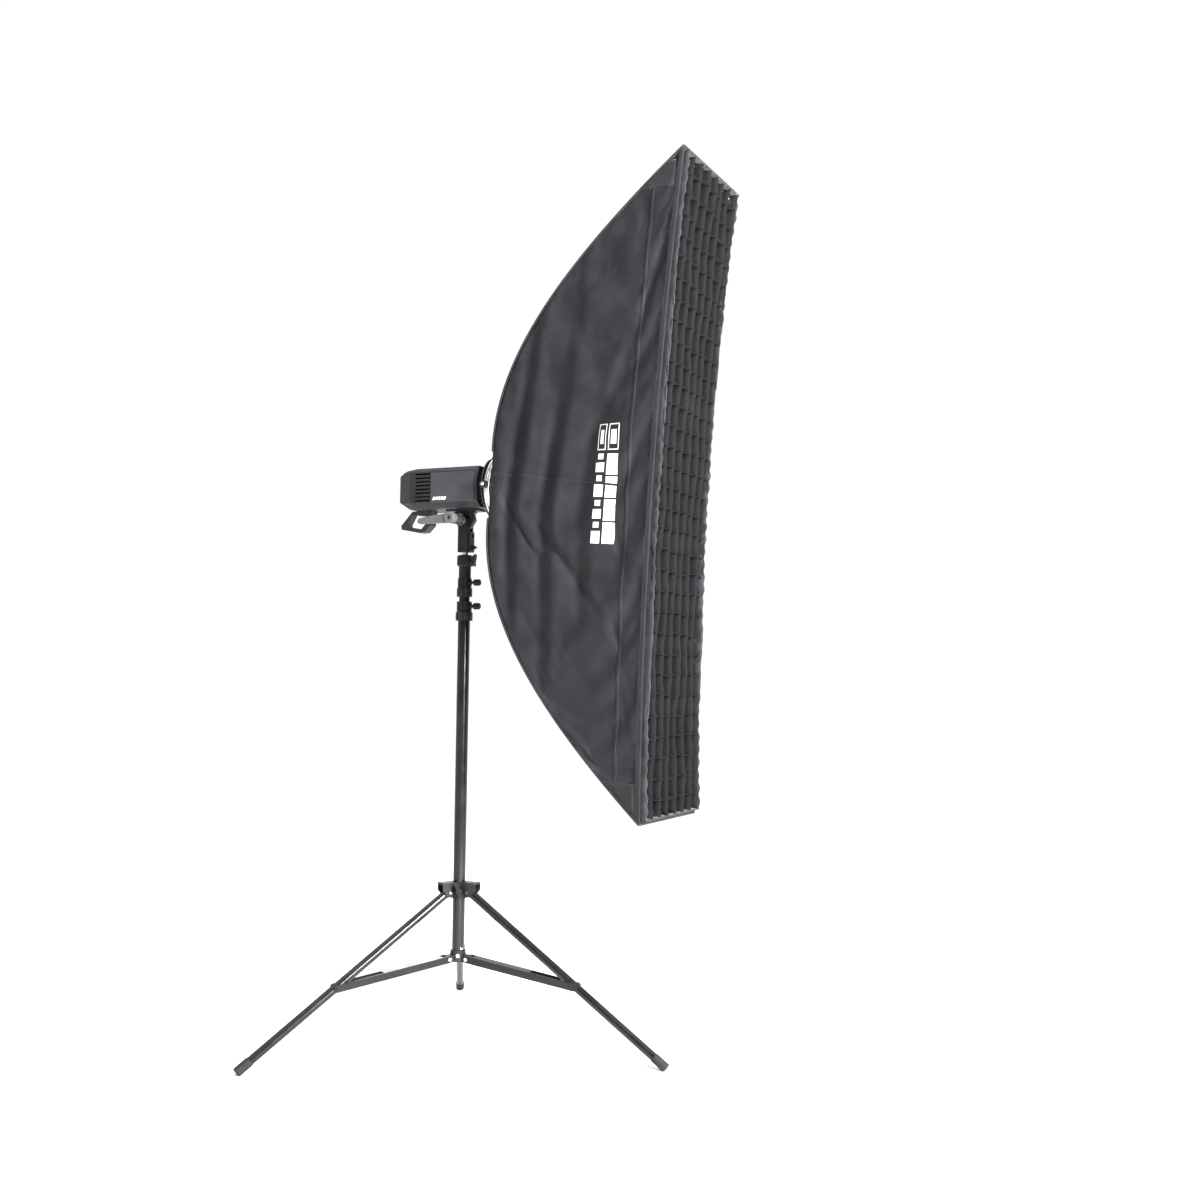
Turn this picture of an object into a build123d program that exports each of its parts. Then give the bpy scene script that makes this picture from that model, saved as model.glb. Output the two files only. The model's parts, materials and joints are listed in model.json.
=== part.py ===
from build123d import *
import math
import os

# Strip softbox with egg-crate grid on a monolight strobe, held by a folding light stand.
# Millimetres. The origin is on the floor under the stand's column, +Z is up, and +X is the way
# the light points. Each sub-part is built by its own function and written as one STEP file.

# ---- stand: column -------------------------------------------------------------------------
LOWER_R, LOWER_BORE = 14.0, 12.8
MIDDLE_R, MIDDLE_BORE = 12.5, 11.3
TOP_R, TOP_BORE = 11.0, 9.8
COLUMN_BOTTOM = 183.0
LOWER_TUBE_TOP = 975.0
MIDDLE_TUBE_LOW, MIDDLE_TUBE_TOP = 215.0, 1030.0
TOP_TUBE_LOW, TOP_TUBE_TOP = 235.0, 1078.0
LOWER_CLAMP = (953.0, 975.5, 997.0)
UPPER_CLAMP = (1008.0, 1030.5, 1050.7)
LOWER_CLAMP_R = (19.5, 17.3)
UPPER_CLAMP_R = (17.8, 16.0)
CLAMP_FLUTES = 8
KNOB_STEM_R = 3.0
PIN_CLEARANCE = 0.06

# ---- stand: legs and braces ----------------------------------------------------------------
LEG_AZIMUTHS = {"front": 0.0, "rear_left": 120.0, "rear_right": 240.0}
PIVOT_R = 28.0
LEG_PIVOT_Z = 337.0
BRACE_PIVOT_Z = 187.0
LEG_END = (515.0, 5.7)
LEG_R, LEG_BORE = 9.5, 8.3
FOOT_R = 10.5
FOOT_LENGTH = 34.0
ATTACH_LENGTH = 327.0
COLLAR_R = 17.5
COLLAR_BORE = 14.3
COLLAR_LOW, COLLAR_TOP = 322.0, 359.0
KNOB_Z, KNOB_AZIMUTH = 341.0, -60.0
EAR_INNER, EAR_OUTER = 10.2, 13.4
BRACE_GAP, BRACE_SIDE = 10.3, 12.3
BRACE_HEIGHT = 16.0
BRACE_WEB_END = 160.0
RIVET_R = 3.0

# ---- stand: top ----------------------------------------------------------------------------
FITTING_TOP = 1104.0
SPIGOT_R = 8.0
SPIGOT_TOP = 1138.0
BRACKET_LOW = 1110.5
BRACKET_X, BRACKET_Y = 14.0, 13.5
TILT_Z = 1184.0
FORK_HALF_GAP = 6.1
UMBRELLA_Z, UMBRELLA_R = 1148.0, 4.2
BOLT_R = 4.0
LUG_HALF = 5.8
BOSS_END = -27.0

# ---- strobe --------------------------------------------------------------------------------
AXIS_Z = 1254.0
BODY_REAR, BODY_FRONT = -142.0, 63.0
CAP_SPLIT = -116.0
BODY_HALF_Y = 60.0
BODY_LOW, BODY_TOP = 1209.0, 1302.0
GRIP_HALF = 12.0
WALL = 3.0
VENT_X = (-102.0, -61.0)
VENT_LOW, VENT_PITCH, VENT_COUNT, VENT_HEIGHT = 1225.0, 8.7, 8, 3.6
BARREL_FRONT = 84.0
BAYONET_R = 50.5
BATTERY_X, BATTERY_Z = (-52.0, 44.0), (1222.0, 1290.0)

# ---- softbox, in its own frame: x forward from the ring's centre, nose down by DROOP --------
RING_CENTRE = (94.5, 0.0, 1254.0)
POST_OFFSET = 49.5
DROOP = 3.4
FRONT_X = 460.0
FRONT_HALF_WIDTH, FRONT_HALF_HEIGHT = 152.5, 698.5
REAR_X, REAR_HALF = 12.0, 74.0
CURVE_KNEE = (3.0, 350.0)
CURVE_WEIGHT = 1.1
FABRIC = 1.2
LINING = 0.6
ROD_R = 3.5
RING_R, RING_BORE = 78.0, 66.0
INSERT_BORE = 56.5
DIFFUSER_X = 415.0
BAFFLE_X = 215.0
GRID_X = (426.0, 476.0)
GRID_COLUMNS, GRID_ROWS = 7, 32
GRID_STRIP = 1.2
CORNERS = [(y, z) for y in (-1, 1) for z in (-1, 1)]

UP = (Align.CENTER, Align.CENTER, Align.MIN)


def bar(start, end, radius):
    """A round bar from one point to another."""
    line = Vector(*end) - Vector(*start)
    place = Plane(origin=start, z_dir=line)
    return place * Cylinder(radius, line.length, align=UP)


def tube(radius, bore, low, high):
    """A tube on the column's axis."""
    height = high - low
    return Pos(0, 0, low) * (Cylinder(radius, height, align=UP) - Cylinder(bore, height, align=UP))


def block(x, y, z):
    """A box from pairs of low and high limits."""
    size = (x[1] - x[0], y[1] - y[0], z[1] - z[0])
    centre = ((x[0] + x[1]) / 2, (y[0] + y[1]) / 2, (z[0] + z[1]) / 2)
    return Pos(*centre) * Box(*size)


def plate_xz(points, y_low, y_high):
    """A plate whose outline is given in X and Z, between two Y planes."""
    outline = Plane.XZ * make_face(Polyline(*points, close=True))
    return Pos(0, y_high, 0) * extrude(outline, amount=y_high - y_low, dir=(0, -1, 0))


def turned(profile, centre_z):
    """A solid turned about the X axis at a height; the outline is given as (x, radius)."""
    face = make_face(Polyline(*[(x, 0, radius) for x, radius in profile], close=True))
    return Pos(0, 0, centre_z) * revolve(face, axis=Axis.X)


def at_azimuth(azimuth, shape):
    return Rot(0, 0, azimuth) * shape


def group(*shapes):
    """Separate solids that share one node."""
    return Compound(children=[piece for shape in shapes for piece in shape.solids()])


# ---- stand ----------------------------------------------------------------------------------
def clamp(levels, radii, tube_radius, slide_radius):
    """A fluted plastic clamp: a flared skirt on one tube and a neck that guides the next."""
    low, middle, high = levels
    skirt = Pos(0, 0, low) * Cylinder(radii[0], middle - low - 4, align=UP)
    shoulder = Pos(0, 0, middle - 4) * Cone(radii[0], radii[1] - 1.2, 4, align=UP)
    neck = Pos(0, 0, middle) * Cylinder(radii[1], high - middle, align=UP)
    body = skirt + shoulder + neck
    for part in (body.edges().group_by(Axis.Z)[0], body.edges().group_by(Axis.Z)[-1]):
        body = fillet(part, 1.0)
    for flute in range(CLAMP_FLUTES):
        angle = 360.0 / CLAMP_FLUTES * (flute + 0.5)
        for radius, z_low, z_high in ((radii[0], low - 1, middle - 6), (radii[1], middle + 2, high + 1)):
            groove = block((radius - 1.1, radius + 3), (-1.3, 1.3), (z_low, z_high))
            body -= at_azimuth(angle, groove)
    knob_z = (middle + high) / 2
    body += bar((13, 0, knob_z), (radii[1] + 2.2, 0, knob_z), 5.4)
    body -= Pos(0, 0, low - 1) * Cylinder(tube_radius, middle - low + 1, align=UP)
    body -= Pos(0, 0, low) * Cylinder(slide_radius, high - low + 1, align=UP)
    body -= bar((0, 0, knob_z), (40, 0, knob_z), KNOB_STEM_R + PIN_CLEARANCE)
    return body


def clamp_knob(levels, slide_radius):
    """A round-headed thumb screw that presses on the sliding tube from +X."""
    knob_z = (levels[1] + levels[2]) / 2
    stem = bar((slide_radius + 0.7, 0, knob_z), (27, 0, knob_z), KNOB_STEM_R)
    head = bar((25, 0, knob_z), (41, 0, knob_z), 7.8)
    head = fillet(head.edges(), 3.2)
    for notch in range(6):
        angle = math.radians(60 * notch)
        y, z = 9.2 * math.sin(angle), knob_z + 9.2 * math.cos(angle)
        head -= bar((24, y, z), (42, y, z), 2.4)
    return stem + head


def top_fitting():
    """The plastic head of the column, bored for the top tube and for the spigot."""
    neck = Pos(0, 0, 1051.0) * Cylinder(14.0, 28, align=UP)
    bulge = Pos(0, 0, 1078.0) * Cylinder(18.5, FITTING_TOP - 1078.0, align=UP)
    body = neck + fillet(bulge.edges(), 4.0)
    for flute in range(CLAMP_FLUTES):
        groove = block((17.4, 22), (-1.3, 1.3), (1083, 1099))
        body -= at_azimuth(360.0 / CLAMP_FLUTES * (flute + 0.5), groove)
    for side in (-1, 1):
        ear = block((14, 24), (side * 7.75 - 1.25, side * 7.75 + 1.25), (1078.5, 1088))
        body += ear
    body -= block((17.0, 30), (-6.4, 6.4), (1077, 1106))
    body -= bar((21.5, -12, 1083), (21.5, 12, 1083), 1.5 + PIN_CLEARANCE)
    body -= Pos(0, 0, 1050) * Cylinder(TOP_R, 28, align=UP)
    body -= Pos(0, 0, 1088) * Cylinder(SPIGOT_R, 20, align=UP)
    return body


def wing_lever():
    """The flip lever that locks the spigot, on a cross pin at the fitting's side."""
    points = [(19.3, 1079.5), (23.6, 1080), (26.5, 1092), (28.4, 1104),
              (26.8, 1106), (22.6, 1099), (19.4, 1091)]
    arm = plate_xz(points, -6.0, 6.0)
    return arm + bar((21.5, -9, 1083), (21.5, 9, 1083), 1.5)


def spigot():
    """The chromed 16 mm stud, with the waist that a set screw locks into."""
    stud = Pos(0, 0, 1088) * Cylinder(SPIGOT_R, SPIGOT_TOP - 1088, align=UP)
    waist = tube(SPIGOT_R + 1, SPIGOT_R - 1.2, 1116, 1127)
    return chamfer((stud - waist).edges().group_by(Axis.Z)[-1], 1.0)


def leg_frame():
    """Unit vector along a leg, from its pivot outwards and down, in X and Z."""
    run, drop = LEG_END[0] - PIVOT_R, LEG_PIVOT_Z - LEG_END[1]
    length = math.hypot(run, drop)
    return run / length, -drop / length, length


def leg_point(distance):
    """A point on the leg's axis at a distance from its pivot."""
    along_x, along_z, _ = leg_frame()
    return (PIVOT_R + along_x * distance, 0, LEG_PIVOT_Z + along_z * distance)


def leg():
    """A round leg tube with a solid, rounded knuckle at its pivot."""
    _, _, length = leg_frame()
    outer = bar(leg_point(0), leg_point(length - 4), LEG_R) + Pos(*leg_point(0)) * Sphere(LEG_R)
    outer -= bar(leg_point(26), leg_point(length), LEG_BORE)
    pivot = bar((PIVOT_R, -20, LEG_PIVOT_Z), (PIVOT_R, 20, LEG_PIVOT_Z), RIVET_R + PIN_CLEARANCE)
    return outer - pivot


def foot():
    """A rubber cap over the leg's end, cut flat where it meets the floor."""
    _, _, length = leg_frame()
    cap = bar(leg_point(length - FOOT_LENGTH), leg_point(length), FOOT_R)
    cap = fillet(cap.edges().group_by(Axis.X)[-1], 2.0)
    cap -= bar(leg_point(length - FOOT_LENGTH - 1), leg_point(length - 4), LEG_R)
    return cap - block((0, 700), (-40, 40), (-40, 0))


def leg_collar():
    """The sliding collar: a sleeve with a hooded pair of ears for each leg."""
    sleeve = Pos(0, 0, COLLAR_LOW) * Cylinder(COLLAR_R, COLLAR_TOP - COLLAR_LOW, align=UP)
    ear = [(10, 326), (35, 326), (48, 342), (48, COLLAR_TOP), (10, COLLAR_TOP)]
    body = sleeve
    for azimuth in LEG_AZIMUTHS.values():
        side = plate_xz(ear, -EAR_OUTER, -EAR_INNER) + plate_xz(ear, EAR_INNER, EAR_OUTER)
        roof = block((10, 48), (-EAR_OUTER, EAR_OUTER), (354.5, COLLAR_TOP))
        hole = bar((PIVOT_R, -20, LEG_PIVOT_Z), (PIVOT_R, 20, LEG_PIVOT_Z), RIVET_R)
        body += at_azimuth(azimuth, side + roof - hole)
    body += at_azimuth(KNOB_AZIMUTH, bar((14, 0, KNOB_Z), (22, 0, KNOB_Z), 6.5))
    body -= Pos(0, 0, COLLAR_LOW - 1) * Cylinder(COLLAR_BORE, 60, align=UP)
    screw_hole = bar((0, 0, KNOB_Z), (40, 0, KNOB_Z), KNOB_STEM_R + PIN_CLEARANCE)
    return body - at_azimuth(KNOB_AZIMUTH, screw_hole)


def rivet_pair(z, inner, outer, head_radius):
    """A rivet across a joint at the pivot radius, with a domed head outside each ear."""
    body = bar((PIVOT_R, -outer, z), (PIVOT_R, outer, z), RIVET_R)
    for side in (-1, 1):
        body += bar((PIVOT_R, side * inner, z), (PIVOT_R, side * (inner + 2), z), head_radius)
    return body


def leg_rivets():
    rivet = rivet_pair(LEG_PIVOT_Z, EAR_OUTER, EAR_OUTER + 1, 4.0)
    return group(*[at_azimuth(azimuth, rivet) for azimuth in LEG_AZIMUTHS.values()])


def collar_knob():
    """The wing screw that locks the collar on the column, set between two legs."""
    stem = bar((COLLAR_BORE + 0.4, 0, KNOB_Z), (26, 0, KNOB_Z), KNOB_STEM_R)
    wing = fillet(Box(8, 8, 36).edges().filter_by(Axis.X), 3.5)
    wing = Pos(34, 0, KNOB_Z) * Rot(22, 0, 0) * wing
    hub = bar((22.6, 0, KNOB_Z), (37, 0, KNOB_Z), 7.0)
    return at_azimuth(KNOB_AZIMUTH, stem + wing + hub)


def base_collar():
    """The fixed collar at the column's foot, with one lug for each brace and a closed floor."""
    body = Pos(0, 0, 180) * Cylinder(COLLAR_R, 25, align=UP)
    for azimuth in LEG_AZIMUTHS.values():
        lug = block((12, PIVOT_R), (-8.5, 8.5), (179.5, 195))
        lug += bar((PIVOT_R, -8.5, BRACE_PIVOT_Z), (PIVOT_R, 8.5, BRACE_PIVOT_Z), 7.5)
        lug -= bar((PIVOT_R, -20, BRACE_PIVOT_Z), (PIVOT_R, 20, BRACE_PIVOT_Z), RIVET_R)
        body += at_azimuth(azimuth, lug)
    return body - Pos(0, 0, COLUMN_BOTTOM) * Cylinder(LOWER_R, 40, align=UP)


def base_rivets():
    """Brace pivots, and the round-headed rivets that hold the base collar to the column."""
    rivet = rivet_pair(BRACE_PIVOT_Z, BRACE_SIDE + 0.25, BRACE_SIDE + 1, 4.0)
    pieces = [at_azimuth(azimuth, rivet) for azimuth in LEG_AZIMUTHS.values()]
    button = bar((COLLAR_R, 0, 194), (COLLAR_R + 2.2, 0, 194), 4.2)
    pieces += [at_azimuth(azimuth + 60, button) for azimuth in LEG_AZIMUTHS.values()]
    return group(*pieces)


def brace():
    """A folded channel that straddles its leg: two side strips joined by a web near the column."""
    end = leg_point(ATTACH_LENGTH)
    run, rise = end[0] - PIVOT_R, end[2] - BRACE_PIVOT_Z
    length = math.hypot(run, rise)
    half = BRACE_HEIGHT / 2
    flat = Pos(length / 2, 0, 0) * Box(length, 2 * BRACE_SIDE, BRACE_HEIGHT)
    for x in (0, length):
        flat += bar((x, -BRACE_SIDE, 0), (x, BRACE_SIDE, 0), half)
    flat -= block((-20, length + 20), (-BRACE_GAP, BRACE_GAP), (-20, half - 2))
    flat -= block((-20, 14), (-BRACE_GAP, BRACE_GAP), (-20, 20))
    flat -= block((BRACE_WEB_END, length + 20), (-BRACE_GAP, BRACE_GAP), (-20, 20))
    flat -= bar((0, -20, 0), (0, 20, 0), RIVET_R + PIN_CLEARANCE)
    heads = []
    for side in (-1, 1):
        heads.append(bar((length, side * BRACE_SIDE, 0), (length, side * (BRACE_SIDE + 2), 0), 4.0))
    place = Pos(PIVOT_R, 0, BRACE_PIVOT_Z) * Rot(0, -math.degrees(math.atan2(rise, run)), 0)
    return group(place * flat, *[place * head for head in heads])


# ---- tilt bracket ----------------------------------------------------------------------------
def tilt_bracket():
    """The strobe's stem: a socket for the spigot below and a fork for the tilting lug above."""
    stem = block((-BRACKET_X, BRACKET_X), (-BRACKET_Y, BRACKET_Y), (BRACKET_LOW, TILT_Z))
    stem += bar((0, -BRACKET_Y, TILT_Z), (0, BRACKET_Y, TILT_Z), BRACKET_X)
    stem = fillet(stem.edges().filter_by(Axis.Z), 3.0)
    stem += block((12, 18.5), (-9, 9), (BRACKET_LOW, 1157.0))
    stem += bar((0, BOSS_END, TILT_Z), (0, -BRACKET_Y, TILT_Z), 13.0)
    stem -= block((-40, 40), (-FORK_HALF_GAP, FORK_HALF_GAP), (1157.0, 1220))
    stem -= Pos(0, 0, BRACKET_LOW - 1) * Cylinder(SPIGOT_R + PIN_CLEARANCE, 29.5, align=UP)
    stem -= bar((-40, 0, UMBRELLA_Z), (40, 0, UMBRELLA_Z), UMBRELLA_R)
    stem -= bar((0, 0, 1121), (40, 0, 1121), 2.5 + PIN_CLEARANCE)
    return stem - bar((0, -60, TILT_Z), (0, 60, TILT_Z), BOLT_R + PIN_CLEARANCE)


def spigot_knob():
    """The small winged set screw that locks the bracket on the spigot."""
    stem = bar((8.6, 0, 1121), (22, 0, 1121), 2.5)
    wing = plate_xz([(19.2, 1115), (24, 1116.5), (31.5, 1121.5), (24, 1126), (19.2, 1127)], -3, 3)
    return stem + wing


def tilt_bolt():
    """The cross bolt of the tilt joint, with its flat head on the far side."""
    shaft = bar((0, -58, TILT_Z), (0, 16, TILT_Z), BOLT_R)
    head = bar((0, BRACKET_Y + 0.4, TILT_Z), (0, BRACKET_Y + 6.4, TILT_Z), 8.5)
    return shaft + chamfer(head.edges(), 0.8)


def tilt_lever():
    """The clamping lever: a round base, a hub and a tapered arm that points back."""
    base = bar((0, -58, TILT_Z), (0, -29, TILT_Z), 12.3)
    hub = chamfer(bar((0, -77, TILT_Z), (0, -58, TILT_Z), 12.8).edges(), 1.0)
    outline = [(-4, 1194), (-60, 1188), (-80, 1184.5), (-85, 1178), (-80, 1172), (-4, 1172.5)]
    arm = plate_xz(outline, -75.0, -64.0)
    arm = fillet(arm.edges().filter_by(Axis.Y), 1.5)
    body = base + hub + arm
    body -= bar((0, -78, TILT_Z), (0, -73, TILT_Z), 5.0)
    return body - bar((0, -58, TILT_Z), (0, 0, TILT_Z), BOLT_R)


def friction_washer():
    disc = bar((0, BOSS_END - 1.5, TILT_Z), (0, BOSS_END, TILT_Z), 13.6)
    return disc - bar((0, -40, TILT_Z), (0, 0, TILT_Z), BOLT_R + 0.3)


def head_lug():
    """The six-sided lug under the strobe that turns in the bracket's fork, with its base plate."""
    outline = [(-30, 1205), (-22, 1197), (-26, TILT_Z), (-14, 1165),
               (14, 1165), (26, TILT_Z), (22, 1197), (30, 1205)]
    lug = plate_xz(outline, -LUG_HALF, LUG_HALF)
    lug += block((-42, 42), (-20, 20), (1204.5, BODY_LOW))
    return lug - bar((0, -30, TILT_Z), (0, 30, TILT_Z), BOLT_R + PIN_CLEARANCE)


# ---- strobe ------------------------------------------------------------------------------------
def body_shape(inset, front):
    """The strobe's outer form, or the same form inset by the wall: bevelled below and behind."""
    side, low, top = BODY_HALF_Y - inset, BODY_LOW + inset, BODY_TOP - inset
    rear = BODY_REAR + inset
    section = [(-side, low + 13), (-side + 18, low), (side - 18, low), (side, low + 13),
               (side, top - 9), (side - 9, top), (-side + 9, top), (-side, top - 9)]
    face = make_face(Polyline(*[(rear, y, z) for y, z in section], close=True))
    across = extrude(face, amount=front - rear, dir=(1, 0, 0))
    profile = [(rear, low + 16), (rear + 17, low), (front, low), (front, top), (rear + 42, top),
               (rear + 18, top - 4), (rear, top - 18)]
    return across & plate_xz(profile, -side - 1, side + 1)


def strobe_housing():
    """The main shell: vent slots on both sides, a battery bay and a round mouth for the barrel."""
    shell = body_shape(0, BODY_FRONT) - body_shape(WALL, BODY_FRONT - WALL)
    shell -= block((BODY_REAR - 1, CAP_SPLIT), (-70, 70), (1190, 1320))
    shell -= bar((BODY_FRONT - 10, 0, AXIS_Z), (BODY_FRONT + 10, 0, AXIS_Z), 41.0)
    for slot in range(VENT_COUNT):
        low = VENT_LOW + slot * VENT_PITCH
        shell -= block(VENT_X, (-70, 70), (low, low + VENT_HEIGHT))
    return shell - block(BATTERY_X, (50, 70), BATTERY_Z)


def rear_cap():
    """The rear shell with the window, the dial's shaft hole and the button's hole."""
    shell = body_shape(0, BODY_FRONT) - body_shape(WALL, BODY_FRONT)
    shell &= block((BODY_REAR - 1, CAP_SPLIT), (-70, 70), (1190, 1320))
    shell -= block((-150, BODY_REAR + 1.5), (-30, 14), (1252, 1280))
    shell -= bar((-150, -24, 1238), (-120, -24, 1238), 3.0 + PIN_CLEARANCE)
    return shell - bar((-150, 26, 1240), (-120, 26, 1240), 5.3)


def side_plate():
    plate = block((-59, 54), (-BODY_HALF_Y - 1.2, -BODY_HALF_Y), (1221, 1290))
    return fillet(plate.edges().filter_by(Axis.Y), 1.5)


def front_barrel():
    """The flared nose between the body and the accessory bayonet."""
    outline = [(57, 37), (57, 40.9), (BODY_FRONT, 40.9), (BODY_FRONT, 54), (66, 56), (80, 73),
               (BARREL_FRONT, 74), (BARREL_FRONT, BAYONET_R), (76, BAYONET_R), (76, 44), (68, 37)]
    return turned(outline, AXIS_Z)


def bayonet_ring():
    """The metal accessory mount inside the barrel's mouth."""
    ring = turned([(76, 46), (76, BAYONET_R), (92, BAYONET_R), (92, 46)], AXIS_Z)
    for lug in range(3):
        angle = math.radians(90 + 120 * lug)
        y, z = 50 * math.cos(angle), AXIS_Z + 50 * math.sin(angle)
        ring += bar((88, y, z), (92, y, z), 2.5)
    return ring


def flash_tube():
    """The ring-shaped discharge tube on its two pins, round a modelling lamp."""
    hoop = Pos(76, 0, AXIS_Z) * Rot(0, 90, 0) * Torus(22, 4.5)
    pins = [bar((62, side * 22, AXIS_Z), (73, side * 22, AXIS_Z), 1.5) for side in (-1, 1)]
    lamp = bar((62, 0, AXIS_Z), (80, 0, AXIS_Z), 8.0)
    return group(hoop + pins[0] + pins[1], lamp)


def glass_dome():
    """The frosted protector glass over the tube: a thin dome on a short skirt."""
    outer = Pos(78, 0, AXIS_Z) * Sphere(36.5) + bar((62, 0, AXIS_Z), (78, 0, AXIS_Z), 36.5)
    inner = Pos(78, 0, AXIS_Z) * Sphere(34.5) + bar((61, 0, AXIS_Z), (78, 0, AXIS_Z), 34.5)
    return (outer - inner) & block((62, 140), (-50, 50), (1190, 1320))


def display():
    return block((BODY_REAR + 0.3, BODY_REAR + 1.5), (-30, 14), (1252, 1280))


def control_dial():
    """The rotary dial on the rear, knurled by shallow flutes, with its shaft."""
    dial = chamfer(bar((-151, -24, 1238), (BODY_REAR - 0.4, -24, 1238), 10.5).edges(), 0.8)
    for flute in range(24):
        angle = math.radians(15 * flute)
        y, z = -24 + 10.9 * math.cos(angle), 1238 + 10.9 * math.sin(angle)
        dial -= bar((-152, y, z), (-142, y, z), 0.8)
    return dial + bar((-146, -24, 1238), (-128, -24, 1238), 3.0)


def test_button():
    button = bar((-144.6, 26, 1240), (BODY_REAR + 2.5, 26, 1240), 5.0)
    return chamfer(button.edges().group_by(Axis.X)[0], 0.5)


def battery():
    """The battery pack that pulls out of the far side."""
    gap = 0.5
    x = (BATTERY_X[0] + gap, BATTERY_X[1] - gap)
    z = (BATTERY_Z[0] + gap, BATTERY_Z[1] - gap)
    pack = block(x, (34, 63), z)
    pack = fillet(pack.edges().group_by(Axis.Y)[-1], 1.5)
    for groove in range(6):
        low = z[0] + 18 + groove * 6
        pack -= block((x[0] + 8, x[0] + 22), (62.2, 64), (low, low + 2.5))
    return pack


def fan_rotor():
    """The cooling fan's rotor behind the vents: a hub and seven pitched blades."""
    rotor = bar((-112, 0, AXIS_Z), (-102, 0, AXIS_Z), 11)
    for blade in range(7):
        vane = Pos(-107, 0, 22) * Rot(0, 0, 35) * Box(1.6, 11, 26)
        rotor += Pos(0, 0, AXIS_Z) * Rot(360 / 7 * blade, 0, 0) * vane
    return rotor


def capacitors():
    """Three flash capacitors lying along the body."""
    places = ((-34, 1238), (-34, 1274), (-1, 1256))
    return group(*[bar((-88, y, z), (22, y, z), 15.5) for y, z in places])


def circuit_board():
    return block((-90, 40), (20, 21.6), (1218, 1292))


def handle():
    """The hand grip under the rear of the body: a closed loop with a hole for the fingers."""
    outer = [(-84, BODY_LOW), (-138, BODY_LOW), (-169, 1176), (-167, 1167),
             (-118, 1158), (-103, 1160), (-88, 1175)]
    inner = [(-140, 1201), (-153, 1178), (-151, 1173), (-113, 1167), (-101, 1180), (-101, 1197)]
    grip = plate_xz(outer, -GRIP_HALF, GRIP_HALF)
    grip = fillet(grip.edges().filter_by(Axis.Y).group_by(Axis.Z)[0], 4.0)
    hole = plate_xz(inner, -GRIP_HALF - 2, GRIP_HALF + 2)
    return grip - hole


# ---- softbox ------------------------------------------------------------------------------------
def in_softbox(shape):
    """Moves a shape from the softbox's own frame to the row's frame."""
    return Pos(*RING_CENTRE) * Rot(0, DROOP, 0) * shape


def half_width(x):
    """Half the canopy's width at a distance in front of the ring."""
    share = (x - REAR_X) / (FRONT_X - REAR_X)
    return REAR_HALF + (FRONT_HALF_WIDTH - REAR_HALF) * share


def corner_curve(inset, side):
    """The bow of the canopy in X and Z, offset inwards: a conic between ring and front."""
    rear, knee, front = (REAR_X, REAR_HALF), CURVE_KNEE, (FRONT_X, FRONT_HALF_HEIGHT)

    def inward(start, end):
        run, rise = end[0] - start[0], end[1] - start[1]
        length = math.hypot(run, rise)
        return rise / length, -run / length

    first, last = inward(rear, knee), inward(knee, front)
    cross = first[0] * last[1] - first[1] * last[0]
    middle = ((last[1] - first[1]) / cross, (first[0] - last[0]) / cross)
    points = []
    for point, direction in ((rear, first), (knee, middle), (front, last)):
        points.append((point[0] + direction[0] * inset, 0, side * (point[1] + direction[1] * inset)))
    return Bezier(*points, weights=[1.0, CURVE_WEIGHT, 1.0])


def bow_prism(inset):
    """The space between the upper and lower bows, extended sideways past the canopy."""
    top, bottom = corner_curve(inset, 1), corner_curve(inset, -1)
    rear, front = Line(bottom @ 0, top @ 0), Line(top @ 1, bottom @ 1)
    face = make_face([top, front, bottom, rear])
    prism = extrude(face, amount=170, dir=(0, 1, 0)) + extrude(face, amount=170, dir=(0, -1, 0))
    return prism & block((0, FRONT_X), (-170, 170), (-720, 720))


def wedge(inset):
    """The space between the two flat side panels, extended past the bows."""
    low, high = half_width(-20) - inset, half_width(FRONT_X + 20) - inset
    outline = [(-20, -low), (FRONT_X + 20, -high), (FRONT_X + 20, high), (-20, low)]
    face = make_face(Polyline(*[(x, y, -730) for x, y in outline], close=True))
    return extrude(face, amount=1460, dir=(0, 0, 1))


def side_panel(side):
    """A flat tapered fabric panel bounded by the two bows."""
    sheet = bow_prism(0) & (wedge(0) - wedge(FABRIC))
    half = block((-20, FRONT_X), sorted((0, side * 170)), (-720, 720))
    return in_softbox(sheet & half)


def end_panel(side):
    """A curved fabric panel that follows the bows, between the side panels."""
    sheet = (bow_prism(0) - bow_prism(FABRIC)) & wedge(FABRIC)
    half = block((-20, FRONT_X), (-170, 170), sorted((side * REAR_HALF, side * 720)))
    return in_softbox(sheet & half)


def silver_lining():
    """The reflective skin just inside the four fabric panels."""
    outer, inner = FABRIC + 0.3, FABRIC + 0.3 + LINING
    room = block((REAR_X + 4, DIFFUSER_X - 2), (-170, 170), (-720, 720))
    sides = bow_prism(outer) & (wedge(outer) - wedge(inner)) & room
    ends = (bow_prism(outer) - bow_prism(inner)) & wedge(inner) & room
    return in_softbox(group(sides, ends))


def adapter_ring():
    """The fixed insert on the strobe's bayonet, which the softbox's ring turns on."""
    outside = RING_BORE - 0.05
    profile = [(-5.5, INSERT_BORE - 3), (-5.5, 70), (-3.8, 70), (-3.8, outside), (11.5, outside),
               (11.5, INSERT_BORE), (-3, INSERT_BORE), (-3, INSERT_BORE - 3)]
    return in_softbox(turned(profile, 0))


def retaining_ring():
    """The spring ring that keeps the rotating ring on its insert."""
    inside = RING_BORE - 0.05
    return in_softbox(turned([(9.8, inside), (9.8, 67.4), (11.4, 67.4), (11.4, inside)], 0))


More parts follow.
